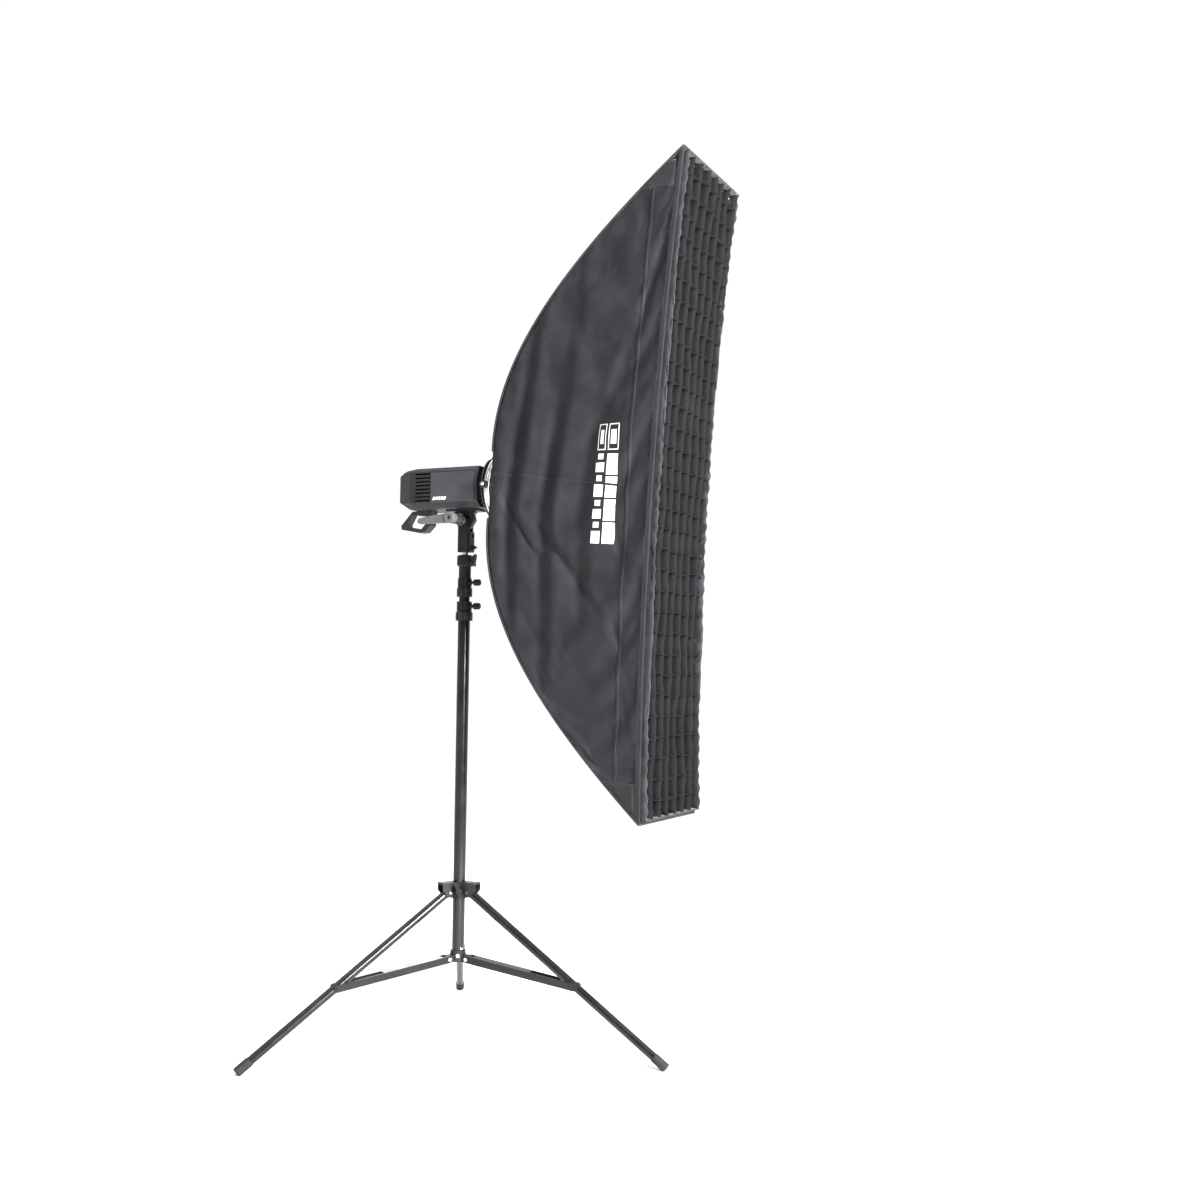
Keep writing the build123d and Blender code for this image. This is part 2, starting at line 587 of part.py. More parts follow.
def rotating_ring():
    """The speed ring: two raised lips round a channel, and four posts for the rod sockets."""
    profile = [(-3.5, RING_BORE), (-3.5, 77), (-1.5, RING_R), (1, RING_R), (1, 75.5),
               (4.5, 75.5), (4.5, RING_R), (8, RING_R), (9.5, 77), (9.5, RING_BORE)]
    ring = turned(profile, 0)
    for side_y, side_z in CORNERS:
        y, z = side_y * POST_OFFSET, side_z * POST_OFFSET
        ring += bar((9, y, z), (16, y, z), 2.3)
    ring += bar((3, -74, 0), (3, -81, 0), 5.5)
    ring -= bar((3, -60, 0), (3, -90, 0), KNOB_STEM_R + PIN_CLEARANCE)
    return in_softbox(ring)


def ring_knob():
    """The thumb screw that stops the ring turning, with a bright centre in a black head."""
    stem = bar((3, -RING_BORE - 0.5, 0), (3, -84, 0), KNOB_STEM_R)
    head = fillet(bar((3, -82, 0), (3, -97, 0), 9.0).edges(), 1.6)
    head -= bar((3, -95.5, 0), (3, -98, 0), 5.0)
    for notch in range(8):
        angle = math.radians(45 * notch)
        x, z = 3 + 10.4 * math.sin(angle), 10.4 * math.cos(angle)
        head -= bar((x, -80, z), (x, -99, z), 2.2)
    return in_softbox(stem + head)


def rod_curve(side_y, side_z):
    """The axis of one rod, a little inside the seam it holds out."""
    inner = (22, side_y * 64, side_z * 58)
    knee = (13, side_y * 62.5, side_z * 343)
    tip = (451, side_y * 142.5, side_z * 682)
    return Bezier(inner, knee, tip, weights=[1.0, CURVE_WEIGHT, 1.0])


def rod_shape(side_y, side_z, radius):
    """A round bar of one radius along a rod's axis."""
    path = rod_curve(side_y, side_z)
    start = Plane(origin=path @ 0, z_dir=path % 0)
    return sweep(start * Circle(radius), path=path)


def rods():
    """Four sprung steel rods bent from the ring to the front corners."""
    return in_softbox(group(*[rod_shape(y, z, ROD_R) for y, z in CORNERS]))


def rod_sockets():
    """Four hinged sockets on the ring that hold the rods' inner ends."""
    sockets = []
    for side_y, side_z in CORNERS:
        y = sorted((side_y * 45, side_y * 70))
        z = sorted((side_z * 36, side_z * 84))
        body = block((16, 28.5), y, z)
        body = fillet(body.edges().filter_by(Axis.X), 2.0)
        sockets.append(body - rod_shape(side_y, side_z, ROD_R + 0.15))
    return in_softbox(group(*sockets))


def rear_skirt():
    """The fabric collar that closes the canopy round the ring."""
    sheet = block((REAR_X + 0.2, REAR_X + 0.2 + FABRIC), (-72.6, 72.6), (-73.0, 73.0))
    sheet -= bar((0, 0, 0), (40, 0, 0), 71.5)
    for side_y, side_z in CORNERS:
        y, z = side_y * POST_OFFSET, side_z * POST_OFFSET
        sheet -= bar((0, y, z), (40, y, z), 2.8)
    return in_softbox(sheet)


def inner_baffle():
    """The inner diffuser sheet and the four elastic straps that hang it from the seams."""
    half_y, half_z = 84, 395
    pieces = [block((BAFFLE_X, BAFFLE_X + 1), (-half_y, half_y), (-half_z, half_z))]
    for side_y, side_z in CORNERS:
        y = sorted((side_y * half_y, side_y * 104))
        z = sorted((side_z * (half_z - 14), side_z * half_z))
        pieces.append(block((BAFFLE_X, BAFFLE_X + 1), y, z))
    return in_softbox(group(*pieces))


def front_diffuser():
    """The recessed front diffuser sheet, notched at its corners for the rods."""
    sheet = block((DIFFUSER_X, DIFFUSER_X + 1), (-142, 142), (-658, 658))
    for side_y, side_z in CORNERS:
        sheet -= rod_shape(side_y, side_z, ROD_R + 1.5)
    return in_softbox(sheet)


def egg_crate_grid():
    """The fabric honeycomb: a lattice of strips that fills the mouth and stands a little proud."""
    half_y, half_z = FRONT_HALF_WIDTH - 2, FRONT_HALF_HEIGHT - 1.5
    cell_y, cell_z = 2 * half_y / GRID_COLUMNS, 2 * half_z / GRID_ROWS
    mouth = Rectangle(2 * half_y, 2 * half_z)
    cell = Rectangle(cell_y - GRID_STRIP, cell_z - GRID_STRIP)
    holes = [Pos((column - (GRID_COLUMNS - 1) / 2) * cell_y, (row - (GRID_ROWS - 1) / 2) * cell_z) * cell
             for column in range(GRID_COLUMNS) for row in range(GRID_ROWS)]
    sketch = Face(mouth.faces()[0].outer_wire(), [hole.faces()[0].outer_wire() for hole in holes])
    place = Plane(origin=(GRID_X[0], 0, 0), x_dir=(0, 1, 0), z_dir=(1, 0, 0))
    lattice = extrude(place * sketch, amount=GRID_X[1] - GRID_X[0], dir=(1, 0, 0))
    inside = bow_prism(FABRIC + 0.4) & wedge(FABRIC + 0.4)
    proud = block((FRONT_X, GRID_X[1] + 1), (-160, 160), (-720, 720))
    return in_softbox(group((lattice & inside) + (lattice & proud)))


# ---- all sub-parts -------------------------------------------------------------------------------
STAND = {
    "lower_tube": tube(LOWER_R, LOWER_BORE, COLUMN_BOTTOM, LOWER_TUBE_TOP),
    "middle_tube": tube(MIDDLE_R, MIDDLE_BORE, MIDDLE_TUBE_LOW, MIDDLE_TUBE_TOP),
    "top_tube": tube(TOP_R, TOP_BORE, TOP_TUBE_LOW, TOP_TUBE_TOP),
    "lower_clamp": clamp(LOWER_CLAMP, LOWER_CLAMP_R, LOWER_R, LOWER_BORE),
    "upper_clamp": clamp(UPPER_CLAMP, UPPER_CLAMP_R, MIDDLE_R, MIDDLE_BORE),
    "lower_clamp_knob": clamp_knob(LOWER_CLAMP, MIDDLE_R),
    "upper_clamp_knob": clamp_knob(UPPER_CLAMP, TOP_R),
    "top_fitting": top_fitting(),
    "wing_lever": wing_lever(),
    "spigot": spigot(),
    "leg_collar": leg_collar(),
    "leg_rivets": leg_rivets(),
    "collar_knob": collar_knob(),
    "base_collar": base_collar(),
    "base_rivets": base_rivets(),
}
for place, azimuth in LEG_AZIMUTHS.items():
    STAND["leg_" + place] = at_azimuth(azimuth, leg())
    STAND["foot_" + place] = at_azimuth(azimuth, foot())
    STAND["brace_" + place] = at_azimuth(azimuth, brace())

BRACKET = {
    "tilt_bracket": tilt_bracket(),
    "spigot_knob": spigot_knob(),
    "tilt_bolt": tilt_bolt(),
    "tilt_lever": tilt_lever(),
    "friction_washer": friction_washer(),
}

STROBE = {
    "head_lug": head_lug(),
    "handle": handle(),
    "strobe_housing": strobe_housing(),
    "rear_cap": rear_cap(),
    "side_plate": side_plate(),
    "front_barrel": front_barrel(),
    "bayonet_ring": bayonet_ring(),
    "flash_tube": flash_tube(),
    "glass_dome": glass_dome(),
    "display": display(),
    "control_dial": control_dial(),
    "test_button": test_button(),
    "battery": battery(),
    "fan_rotor": fan_rotor(),
    "capacitors": capacitors(),
    "circuit_board": circuit_board(),
}

SOFTBOX = {
    "adapter_ring": adapter_ring(),
    "retaining_ring": retaining_ring(),
    "rotating_ring": rotating_ring(),
    "ring_knob": ring_knob(),
    "rod_sockets": rod_sockets(),
    "rods": rods(),
    "side_panel_near": side_panel(-1),
    "side_panel_far": side_panel(1),
    "end_panel_top": end_panel(1),
    "end_panel_bottom": end_panel(-1),
    "rear_skirt": rear_skirt(),
    "silver_lining": silver_lining(),
    "inner_baffle": inner_baffle(),
    "front_diffuser": front_diffuser(),
    "egg_crate_grid": egg_crate_grid(),
}

os.makedirs("parts", exist_ok=True)
for name, shape in {**STAND, **BRACKET, **STROBE, **SOFTBOX}.items():
    export_step(shape, "parts/" + name + ".step")
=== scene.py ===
import json
import math
import random

import bmesh
import bpy
import numpy as np
from mathutils import Matrix, Vector
from mathutils.bvhtree import BVHTree


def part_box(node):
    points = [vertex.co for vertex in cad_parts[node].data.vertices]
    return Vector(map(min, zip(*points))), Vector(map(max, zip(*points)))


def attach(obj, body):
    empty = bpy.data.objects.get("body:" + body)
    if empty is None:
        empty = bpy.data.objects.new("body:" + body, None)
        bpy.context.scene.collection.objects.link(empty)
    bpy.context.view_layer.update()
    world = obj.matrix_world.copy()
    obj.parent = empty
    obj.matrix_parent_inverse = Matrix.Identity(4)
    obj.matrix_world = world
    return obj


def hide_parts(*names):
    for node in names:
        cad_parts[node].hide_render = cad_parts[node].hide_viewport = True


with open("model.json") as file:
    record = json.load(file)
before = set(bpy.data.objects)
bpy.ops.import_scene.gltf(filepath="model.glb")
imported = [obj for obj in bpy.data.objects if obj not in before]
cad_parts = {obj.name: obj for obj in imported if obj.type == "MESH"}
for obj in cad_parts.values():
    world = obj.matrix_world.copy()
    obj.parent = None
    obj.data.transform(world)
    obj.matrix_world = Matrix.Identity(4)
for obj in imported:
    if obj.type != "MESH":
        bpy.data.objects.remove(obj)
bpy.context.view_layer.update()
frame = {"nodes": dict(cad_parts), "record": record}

# Strip softbox on a strobe and a light stand. Metres, in the frame's own axes. The canopy, grid,
# lining and diffusers are fabric made here; everything rigid is the frame's own parts.

random.seed(7)
ROUND = 2 * math.pi


# ---- softbox frame ---------------------------------------------------------------------------
# The softbox turns about its ring's axis, so its fabric is laid out along that axis: x forward
# from the ring's centre, y across, z up, and then set into the row frame.
turn_joint = next(j for j in frame["record"]["behaviour"]["joints"] if j["name"] == "softbox_turn")
RING = Vector(turn_joint["pos_m"])
AHEAD = Vector(turn_joint["axis"]).normalized()
ABOVE = AHEAD.cross(Vector((0, 1, 0))).normalized()
ABOVE = ABOVE if ABOVE.z > 0 else -ABOVE


def to_row(x, y, z):
    """A point of the softbox's own frame, in the row frame."""
    return RING + AHEAD * x + Vector((0, 1, 0)) * y + ABOVE * z


def own_box(node):
    """The lowest and highest corner of a frame part in the softbox's own frame."""
    points = [v.co - RING for v in frame["nodes"][node].data.vertices]
    own = np.array([(p.dot(AHEAD), p.y, p.dot(ABOVE)) for p in points])
    return own.min(axis=0), own.max(axis=0)


side_low, side_high = own_box("side_panel_near")
HALF_WIDTH, HALF_HEIGHT = -side_low[1], side_high[2]
MOUTH_X = side_high[0]
REAR_X = own_box("rear_skirt")[0][0] - 0.0002
REAR_HALF = 0.074
KNEE_X, KNEE_Z, KNEE_WEIGHT = 0.003, 0.350, 1.1
BOW_BACK, BOW_IN = 0.024, 0.007
RING_HOLE = 0.0716


def corner_line(count):
    """Points (x, z) of the curve that a rod bends a corner seam into, from ring to mouth."""
    t = np.linspace(0, 1, count)
    a, b, c = (1 - t) ** 2, 2 * KNEE_WEIGHT * t * (1 - t), t ** 2
    total = a + b + c
    x = (a * REAR_X + b * KNEE_X + c * MOUTH_X) / total
    z = (a * REAR_HALF + b * KNEE_Z + c * HALF_HEIGHT) / total
    return x, z


LINE_X, LINE_Z = corner_line(600)


def back_x(z):
    """Where the canopy's back outline is at height z."""
    return float(np.interp(abs(z), LINE_Z, LINE_X))


def outline_z(x):
    """How high the canopy reaches at depth x."""
    return float(np.interp(x, LINE_X[200:], LINE_Z[200:]))


def half_width(x):
    """Half the canopy's width at depth x."""
    return REAR_HALF + (x - REAR_X) / (MOUTH_X - REAR_X) * (HALF_WIDTH - REAR_HALF)


def stations(inner, outer):
    """Heights from ring to mouth, evenly spaced along the corner seam."""
    steps = np.hypot(np.diff(LINE_X), np.diff(LINE_Z))
    along = np.concatenate(([0], np.cumsum(steps)))
    upper = np.interp(np.linspace(0, along[-1], outer + 1), along, LINE_Z)
    middle = np.linspace(-REAR_HALF, REAR_HALF, inner + 1)
    return np.concatenate((-upper[::-1], middle[1:-1], upper))


# ---- mesh helpers ----------------------------------------------------------------------------
def make_object(name, points, faces, uvs=None, smooth=True):
    """A mesh object; uvs holds one pair in metres per point."""
    mesh = bpy.data.meshes.new(name)
    mesh.from_pydata([tuple(p) for p in points], [], faces)
    mesh.update()
    if uvs is not None:
        layer = mesh.uv_layers.new(name="UVMap")
        for loop in mesh.loops:
            layer.data[loop.index].uv = uvs[loop.vertex_index]
    mesh.polygons.foreach_set("use_smooth", [smooth] * len(mesh.polygons))
    made = bpy.data.objects.new(name, mesh)
    bpy.context.collection.objects.link(made)
    return made


def join_parts(parts):
    """One list of points, faces and uvs from several (points, faces, uvs)."""
    points, faces, uvs = [], [], []
    for some_points, some_faces, some_uvs in parts:
        start = len(points)
        points += list(some_points)
        faces += [tuple(start + k for k in face) for face in some_faces]
        uvs += list(some_uvs)
    return points, faces, uvs


def patch(place, rows, columns, scale=(1, 1), flip=False):
    """A grid of quads whose points place(i, j) gives, for i below rows and j below columns."""
    points = [place(i, j) for i in range(rows) for j in range(columns)]
    uvs = [(i * scale[0], j * scale[1]) for i in range(rows) for j in range(columns)]
    faces = []
    for i in range(rows - 1):
        for j in range(columns - 1):
            a = i * columns + j
            face = (a, a + 1, a + columns + 1, a + columns)
            faces.append(face[::-1] if flip else face)
    return points, faces, uvs


def apply_modifiers(made):
    """The mesh as its modifiers leave it, with none left."""
    bpy.context.view_layer.update()
    graph = bpy.context.evaluated_depsgraph_get()
    mesh = bpy.data.meshes.new_from_object(made.evaluated_get(graph))
    made.modifiers.clear()
    made.data = mesh


def weld(made, distance=0.00002):
    """Joins the points that lie together."""
    modifier = made.modifiers.new("weld", "WELD")
    modifier.merge_threshold = distance
    apply_modifiers(made)


def thicken(made, thickness, offset=0.0):
    """Gives a sheet its thickness."""
    modifier = made.modifiers.new("thickness", "SOLIDIFY")
    modifier.thickness = thickness
    modifier.offset = offset
    return modifier


def noise(seed, *waves):
    """A smooth repeatable function of two numbers: a sum of sines with random phases."""
    chance = random.Random(seed)
    terms = []
    for length, height in waves:
        for _ in range(4):
            angle = chance.uniform(0, ROUND)
            terms.append((math.cos(angle) * ROUND / length, math.sin(angle) * ROUND / length,
                          chance.uniform(0, ROUND), height / 2))

    def value(u, v):
        return sum(h * math.sin(a * u + b * v + phase) for a, b, phase, h in terms)
    return value


# ---- materials -------------------------------------------------------------------------------
class Nodes:
    """A material's node tree, with short calls for the nodes used here."""

    def __init__(self, name):
        self.material = bpy.data.materials.new(name)
        self.material.use_nodes = True
        self.tree = self.material.node_tree
        self.shader = self.tree.nodes["Principled BSDF"]

    def link(self, source, target):
        self.tree.links.new(source, target)

    def add(self, kind, **values):
        node = self.tree.nodes.new(kind)
        for key, value in values.items():
            if key in node.inputs:
                node.inputs[key].default_value = value
            else:
                setattr(node, key, value)
        return node

    def set(self, **values):
        for key, value in values.items():
            self.shader.inputs[key.replace("_", " ")].default_value = value

    def place(self, scale, uv=False):
        source = self.add("ShaderNodeTexCoord")
        mapping = self.add("ShaderNodeMapping")
        mapping.inputs["Scale"].default_value = scale
        self.link(source.outputs["UV" if uv else "Object"], mapping.inputs["Vector"])
        return mapping.outputs["Vector"]

    def noise(self, vector, scale, detail=3.0, rough=0.55):
        node = self.add("ShaderNodeTexNoise", Scale=scale, Detail=detail, Roughness=rough)
        self.link(vector, node.inputs["Vector"])
        return node.outputs["Fac"]

    def wave(self, vector, direction, scale, distortion=0.0):
        node = self.add("ShaderNodeTexWave", Scale=scale, Distortion=distortion)
        node.bands_direction = direction
        self.link(vector, node.inputs["Vector"])
        return node.outputs["Fac"]

    def spread(self, source, low, high, start=0.3, end=0.7):
        """Carries a source's range start to end over to low to high."""
        node = self.add("ShaderNodeMapRange")
        for key, value in (("From Min", start), ("From Max", end), ("To Min", low), ("To Max", high)):
            node.inputs[key].default_value = value
        self.link(source, node.inputs["Value"])
        return node.outputs["Result"]

    def maths(self, operation, first, second):
        node = self.add("ShaderNodeMath", operation=operation)
        for index, value in enumerate((first, second)):
            if isinstance(value, (int, float)):
                node.inputs[index].default_value = value
            else:
                self.link(value, node.inputs[index])
        return node.outputs[0]

    def colours(self, factor, low, high):
        node = self.add("ShaderNodeMix")
        node.data_type = "RGBA"
        node.inputs[6].default_value = (*low, 1)
        node.inputs[7].default_value = (*high, 1)
        self.link(factor, node.inputs[0])
        self.link(node.outputs[2], self.shader.inputs["Base Color"])

    def bump(self, height, strength, distance):
        node = self.add("ShaderNodeBump", Strength=strength, Distance=distance)
        self.link(height, node.inputs["Height"])
        self.link(node.outputs["Normal"], self.shader.inputs["Normal"])


def woven(name, low, high, rough=0.6, sheen=0.25, thread=0.0006, rib=0.0, bump=0.25, see_through=0.0):
    """Cloth: crossed threads, an optional rib, mottled colour and a little sheen."""
    nodes = Nodes(name)
    uv = nodes.place((1, 1, 1), uv=True)
    warp = nodes.wave(uv, "X", 1 / thread / ROUND * 2)
    weft = nodes.wave(uv, "Y", 1 / thread / ROUND * 2)
    cross = nodes.maths("MULTIPLY", warp, weft)
    mottle = nodes.noise(uv, 14, 4)
    fleck = nodes.noise(nodes.place((300, 2600, 1), uv=True), 1, 2)
    tone = nodes.maths("ADD", nodes.maths("MULTIPLY", mottle, 0.65), nodes.maths("MULTIPLY", fleck, 0.35))
    nodes.colours(nodes.spread(tone, 0, 1, 0.35, 0.65), low, high)
    height = nodes.maths("ADD", nodes.maths("MULTIPLY", cross, 0.5), nodes.maths("MULTIPLY", fleck, 0.4))
    if rib:
        ribs = nodes.wave(uv, "Y", 1 / rib / ROUND * 2)
        height = nodes.maths("ADD", height, nodes.maths("MULTIPLY", ribs, 0.8))
    nodes.bump(height, bump, 0.0004)
    nodes.link(nodes.spread(mottle, rough - 0.08, rough + 0.08), nodes.shader.inputs["Roughness"])
    nodes.set(Sheen_Weight=sheen, Sheen_Roughness=0.4, Specular_IOR_Level=0.12)
    if see_through:
        nodes.set(Transmission_Weight=see_through)
    return nodes.material


def moulded(name, low, high, rough=0.5, grain=0.0006, bump=0.3, coat=0.0, wear=0.0, gloss=0.2):
    """Moulded plastic or coated metal: a fine grain, faint smudges, and lighter worn edges."""
    nodes = Nodes(name)
    here = nodes.place((1, 1, 1))
    smudge = nodes.noise(here, 22, 5, 0.6)
    fine = nodes.noise(here, 1 / grain, 2)
    tone = nodes.spread(smudge, 0, 1)
    if wear:
        edge = nodes.add("ShaderNodeNewGeometry").outputs["Pointiness"]
        worn = nodes.spread(edge, 0, wear, 0.52, 0.6)
        tone = nodes.maths("MAXIMUM", nodes.maths("MULTIPLY", tone, 0.6), worn)
    nodes.colours(tone, low, high)
    nodes.link(nodes.spread(smudge, rough - 0.06, rough + 0.08), nodes.shader.inputs["Roughness"])
    nodes.bump(fine, bump, 0.0002)
    nodes.set(Coat_Weight=coat, Coat_Roughness=0.08, Specular_IOR_Level=gloss)
    return nodes.material


def metal(name, colour, rough=0.2, streak=(1, 1, 1), bump=0.1):
    """Bare metal with turning or brushing marks along the axis whose streak is smallest."""
    nodes = Nodes(name)
    marks = nodes.noise(nodes.place(tuple(900 * s for s in streak)), 1, 2)
    cloud = nodes.noise(nodes.place((1, 1, 1)), 30, 4)
    dark = tuple(c * 0.82 for c in colour)
    nodes.colours(nodes.spread(cloud, 0, 1), dark, colour)
    nodes.link(nodes.spread(marks, rough * 0.7, rough * 1.4), nodes.shader.inputs["Roughness"])
    nodes.bump(marks, bump, 0.0001)
    nodes.set(Metallic=1.0)
    return nodes.material


def frosted(name, colour, rough=0.35):
    """Glass with a sandblasted surface."""
    nodes = Nodes(name)
    fine = nodes.noise(nodes.place((1, 1, 1)), 1500, 2)
    nodes.colours(nodes.spread(fine, 0, 1), tuple(c * 0.92 for c in colour), colour)
    nodes.link(nodes.spread(fine, rough - 0.08, rough + 0.08), nodes.shader.inputs["Roughness"])
    nodes.bump(fine, 0.2, 0.0001)
    nodes.set(Transmission_Weight=0.85, IOR=1.46)
    return nodes.material


nylon = woven("black_nylon", (0.0125, 0.0120, 0.0142), (0.0215, 0.0207, 0.0240), rough=0.5, sheen=0.02,
              rib=0.0024)
binding = woven("hem_binding", (0.008, 0.0078, 0.0090), (0.018, 0.0175, 0.0200), rough=0.62, thread=0.0009,
                bump=0.5)
thread_yarn = woven("stitch_thread", (0.028, 0.027, 0.031), (0.050, 0.049, 0.055), rough=0.5, thread=0.0004)
print_ink = woven("white_print", (0.74, 0.74, 0.73), (0.86, 0.86, 0.85), rough=0.45, sheen=0.0, bump=0.12)
velvet = woven("grid_fabric", (0.0035, 0.0035, 0.0040), (0.0095, 0.0095, 0.0105), rough=0.85, sheen=0.0,
               thread=0.0008)
grid_edge = woven("grid_border", (0.009, 0.009, 0.0105), (0.024, 0.024, 0.027), rough=0.6, thread=0.0008,
                  bump=0.5)
silver_cloth = woven("silver_lining", (0.60, 0.60, 0.62), (0.78, 0.78, 0.80), rough=0.32, sheen=0.0,
                     thread=0.003)
silver_cloth.node_tree.nodes["Principled BSDF"].inputs["Metallic"].default_value = 0.85
white_cloth = woven("white_diffuser", (0.80, 0.80, 0.79), (0.90, 0.90, 0.89), rough=0.7, see_through=0.25)
elastic = woven("elastic_strap", (0.70, 0.70, 0.69), (0.82, 0.82, 0.81), rough=0.7, thread=0.0015, bump=0.6)

gloss_black = moulded("gloss_black_tube", (0.004, 0.004, 0.0045), (0.009, 0.009, 0.010), 0.2, 0.002, 0.05,
                      coat=0.28)
satin_black = moulded("satin_black_brace", (0.005, 0.005, 0.0055), (0.011, 0.011, 0.012), 0.3, 0.0015, 0.1,
                      coat=0.12)
stand_black = moulded("stand_plastic", (0.006, 0.006, 0.0066), (0.022, 0.022, 0.024), 0.42, 0.0008, 0.4,
                      wear=0.8)
knob_black = moulded("knob_plastic", (0.005, 0.005, 0.0055), (0.018, 0.018, 0.020), 0.36, 0.0008, 0.3,
                     wear=0.8)
foot_black = moulded("foot_rubber", (0.012, 0.011, 0.010), (0.030, 0.027, 0.024), 0.7, 0.0007, 0.6)
bracket_black = moulded("bracket_metal", (0.010, 0.010, 0.0115), (0.026, 0.026, 0.029), 0.36, 0.0006, 0.25,
                        wear=0.9)
lever_grey = moulded("lever_plastic", (0.062, 0.060, 0.063), (0.098, 0.095, 0.099), 0.5, 0.0007, 0.4,
                     wear=0.8)
shell_grey = moulded("strobe_shell", (0.0085, 0.0085, 0.0095), (0.022, 0.022, 0.0245), 0.46, 0.0005, 0.45,
                     wear=0.9)
plate_grey = moulded("plate_plastic", (0.026, 0.0255, 0.0295), (0.036, 0.0355, 0.0405), 0.42, 0.0005, 0.25)
barrel_black = moulded("barrel_gloss", (0.008, 0.008, 0.009), (0.018, 0.018, 0.020), 0.24, 0.001, 0.1,
                       coat=0.3)
dark_plastic = moulded("dark_plastic", (0.015, 0.015, 0.017), (0.035, 0.035, 0.038), 0.5, 0.0006, 0.4,
                       wear=0.8)
window_black = moulded("display_window", (0.004, 0.005, 0.006), (0.012, 0.013, 0.016), 0.12, 0.003, 0.02,
                       coat=0.8)
can_blue = moulded("capacitor_sleeve", (0.006, 0.007, 0.010), (0.014, 0.016, 0.022), 0.4, 0.001, 0.1)
board_green = moulded("board_mask", (0.01, 0.07, 0.03), (0.02, 0.11, 0.05), 0.35, 0.001, 0.2)
bright_steel = metal("bright_steel", (0.78, 0.78, 0.80), 0.12, (1, 1, 0.05))
bronze = metal("bronze_washer", (0.62, 0.40, 0.20), 0.3)
mount_metal = metal("bayonet_metal", (0.62, 0.62, 0.64), 0.22, (0.05, 1, 1))
ring_metal = metal("ring_metal", (0.74, 0.74, 0.77), 0.28, (0.08, 1, 1), 0.2)
rod_steel = metal("rod_steel", (0.50, 0.50, 0.52), 0.3, (1, 1, 1), 0.15)
clear_glass = frosted("frosted_glass", (0.95, 0.95, 0.95))

FINISHES = {
    gloss_black: ("lower_tube", "middle_tube", "top_tube", "leg_front", "leg_rear_left", "leg_rear_right"),
    satin_black: ("brace_front", "brace_rear_left", "brace_rear_right"),
    stand_black: ("lower_clamp", "upper_clamp", "top_fitting", "leg_collar", "base_collar"),
    knob_black: ("lower_clamp_knob", "upper_clamp_knob", "wing_lever", "collar_knob", "ring_knob",
                 "spigot_knob"),
    bright_steel: ("spigot", "leg_rivets", "base_rivets", "tilt_bolt"),
    foot_black: ("foot_front", "foot_rear_left", "foot_rear_right"),
    bracket_black: ("tilt_bracket", "head_lug"),
    lever_grey: ("tilt_lever",),
    bronze: ("friction_washer",),
    shell_grey: ("handle", "strobe_housing", "rear_cap"),
    barrel_black: ("front_barrel",),
    plate_grey: ("side_plate",),
    dark_plastic: ("control_dial", "test_button", "battery", "fan_rotor", "rod_sockets"),
    mount_metal: ("bayonet_ring",),
    clear_glass: ("flash_tube", "glass_dome"),
    window_black: ("display",),
    can_blue: ("capacitors",),
    board_green: ("circuit_board",),
    ring_metal: ("adapter_ring", "rotating_ring"),
    rod_steel: ("rods", "retaining_ring"),
}
for finish, names in FINISHES.items():
    for name in names:
        node = frame["nodes"][name]
        node.data.materials.clear()
        node.data.materials.append(finish)


def dress(made, material, body="softbox"):
    """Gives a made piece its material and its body."""
    made.data.materials.clear()
    made.data.materials.append(material)
    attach(made, body)
    return made


# ---- canopy ----------------------------------------------------------------------------------
ACROSS_ROWS = 60
HEIGHTS = stations(12, 84)
END_COLUMNS = 28


def mouth_bow(z):
    """How far the long front edges bow back and in at height z, as shares of the most."""
    return max(0.0, 1 - (z / HALF_HEIGHT) ** 2)


fine_folds = noise(3, (0.13, 0.0011), (0.06, 0.0005))

# Creases of a side panel: depth x, height z, slope, width, length, depth of the crease, in metres.
CREASES = (
    (0.085, -0.075, -0.75, 0.0075, 0.055, 0.0030),
    (0.150, -0.120, -1.20, 0.0060, 0.040, 0.0026),
    (0.240, -0.185, -0.95, 0.0150, 0.110, 0.0038),
    (0.355, -0.120, -0.45, 0.0120, 0.075, 0.0034),
    (0.375, -0.330, -0.38, 0.0100, 0.090, 0.0030),
    (0.405, -0.480, -0.30, 0.0080, 0.070, 0.0024),
    (0.330, 0.230, 0.42, 0.0180, 0.130, 0.0032),
    (0.400, 0.420, 0.24, 0.0100, 0.110, 0.0030),
    (0.385, 0.060, 0.30, 0.0100, 0.060, 0.0026),
    (0.280, 0.470, 0.70, 0.0150, 0.070, 0.0022),
    (0.330, -0.560, -0.80, 0.0110, 0.050, 0.0020),
)


def panel_point(share, z, side):
    """A point of a side panel: share 0 on the back outline, 1 on the front edge."""
    start = back_x(z)
    x = start + share * (MOUTH_X - start)
    bow = mouth_bow(z)
    y = half_width(x) - BOW_IN * bow * share ** 2
    x -= BOW_BACK * bow * share ** 3
    return x, side * y, z


def fold_depth(share, z, side):
    """How far the soft folds of a side panel stand off it."""
    x, _, _ = panel_point(share, z, side)
    reach = math.exp(-((z + 0.03) / 0.33) ** 2)
    drift = 0.12 * z + 0.18 * max(0, -z - 0.05)
    phase = (x - drift) / 0.098 * ROUND + 0.8
    wave = (math.sin(phase) + 0.28 * math.sin(2 * phase + 0.5)) * math.exp(-((x - 0.12) / 0.17) ** 2)
    edge = min(1, share / 0.08) * min(1, (1 - share) / 0.12)
    strain = 0
    for base_x, base_z, slope, width, reach_z, depth in CREASES:
        off = (x - base_x) - slope * (z - base_z)
        strain += depth * math.exp(-(off / width) ** 2 - ((z - base_z) / reach_z) ** 2)
    pull = -0.005 * math.sin(math.pi * min(1, share ** 0.7)) ** 1.6 * (0.35 + 0.65 * reach)
    return edge * (0.0085 * reach * wave - 1.5 * strain) + pull + edge * fine_folds(x * side, z)


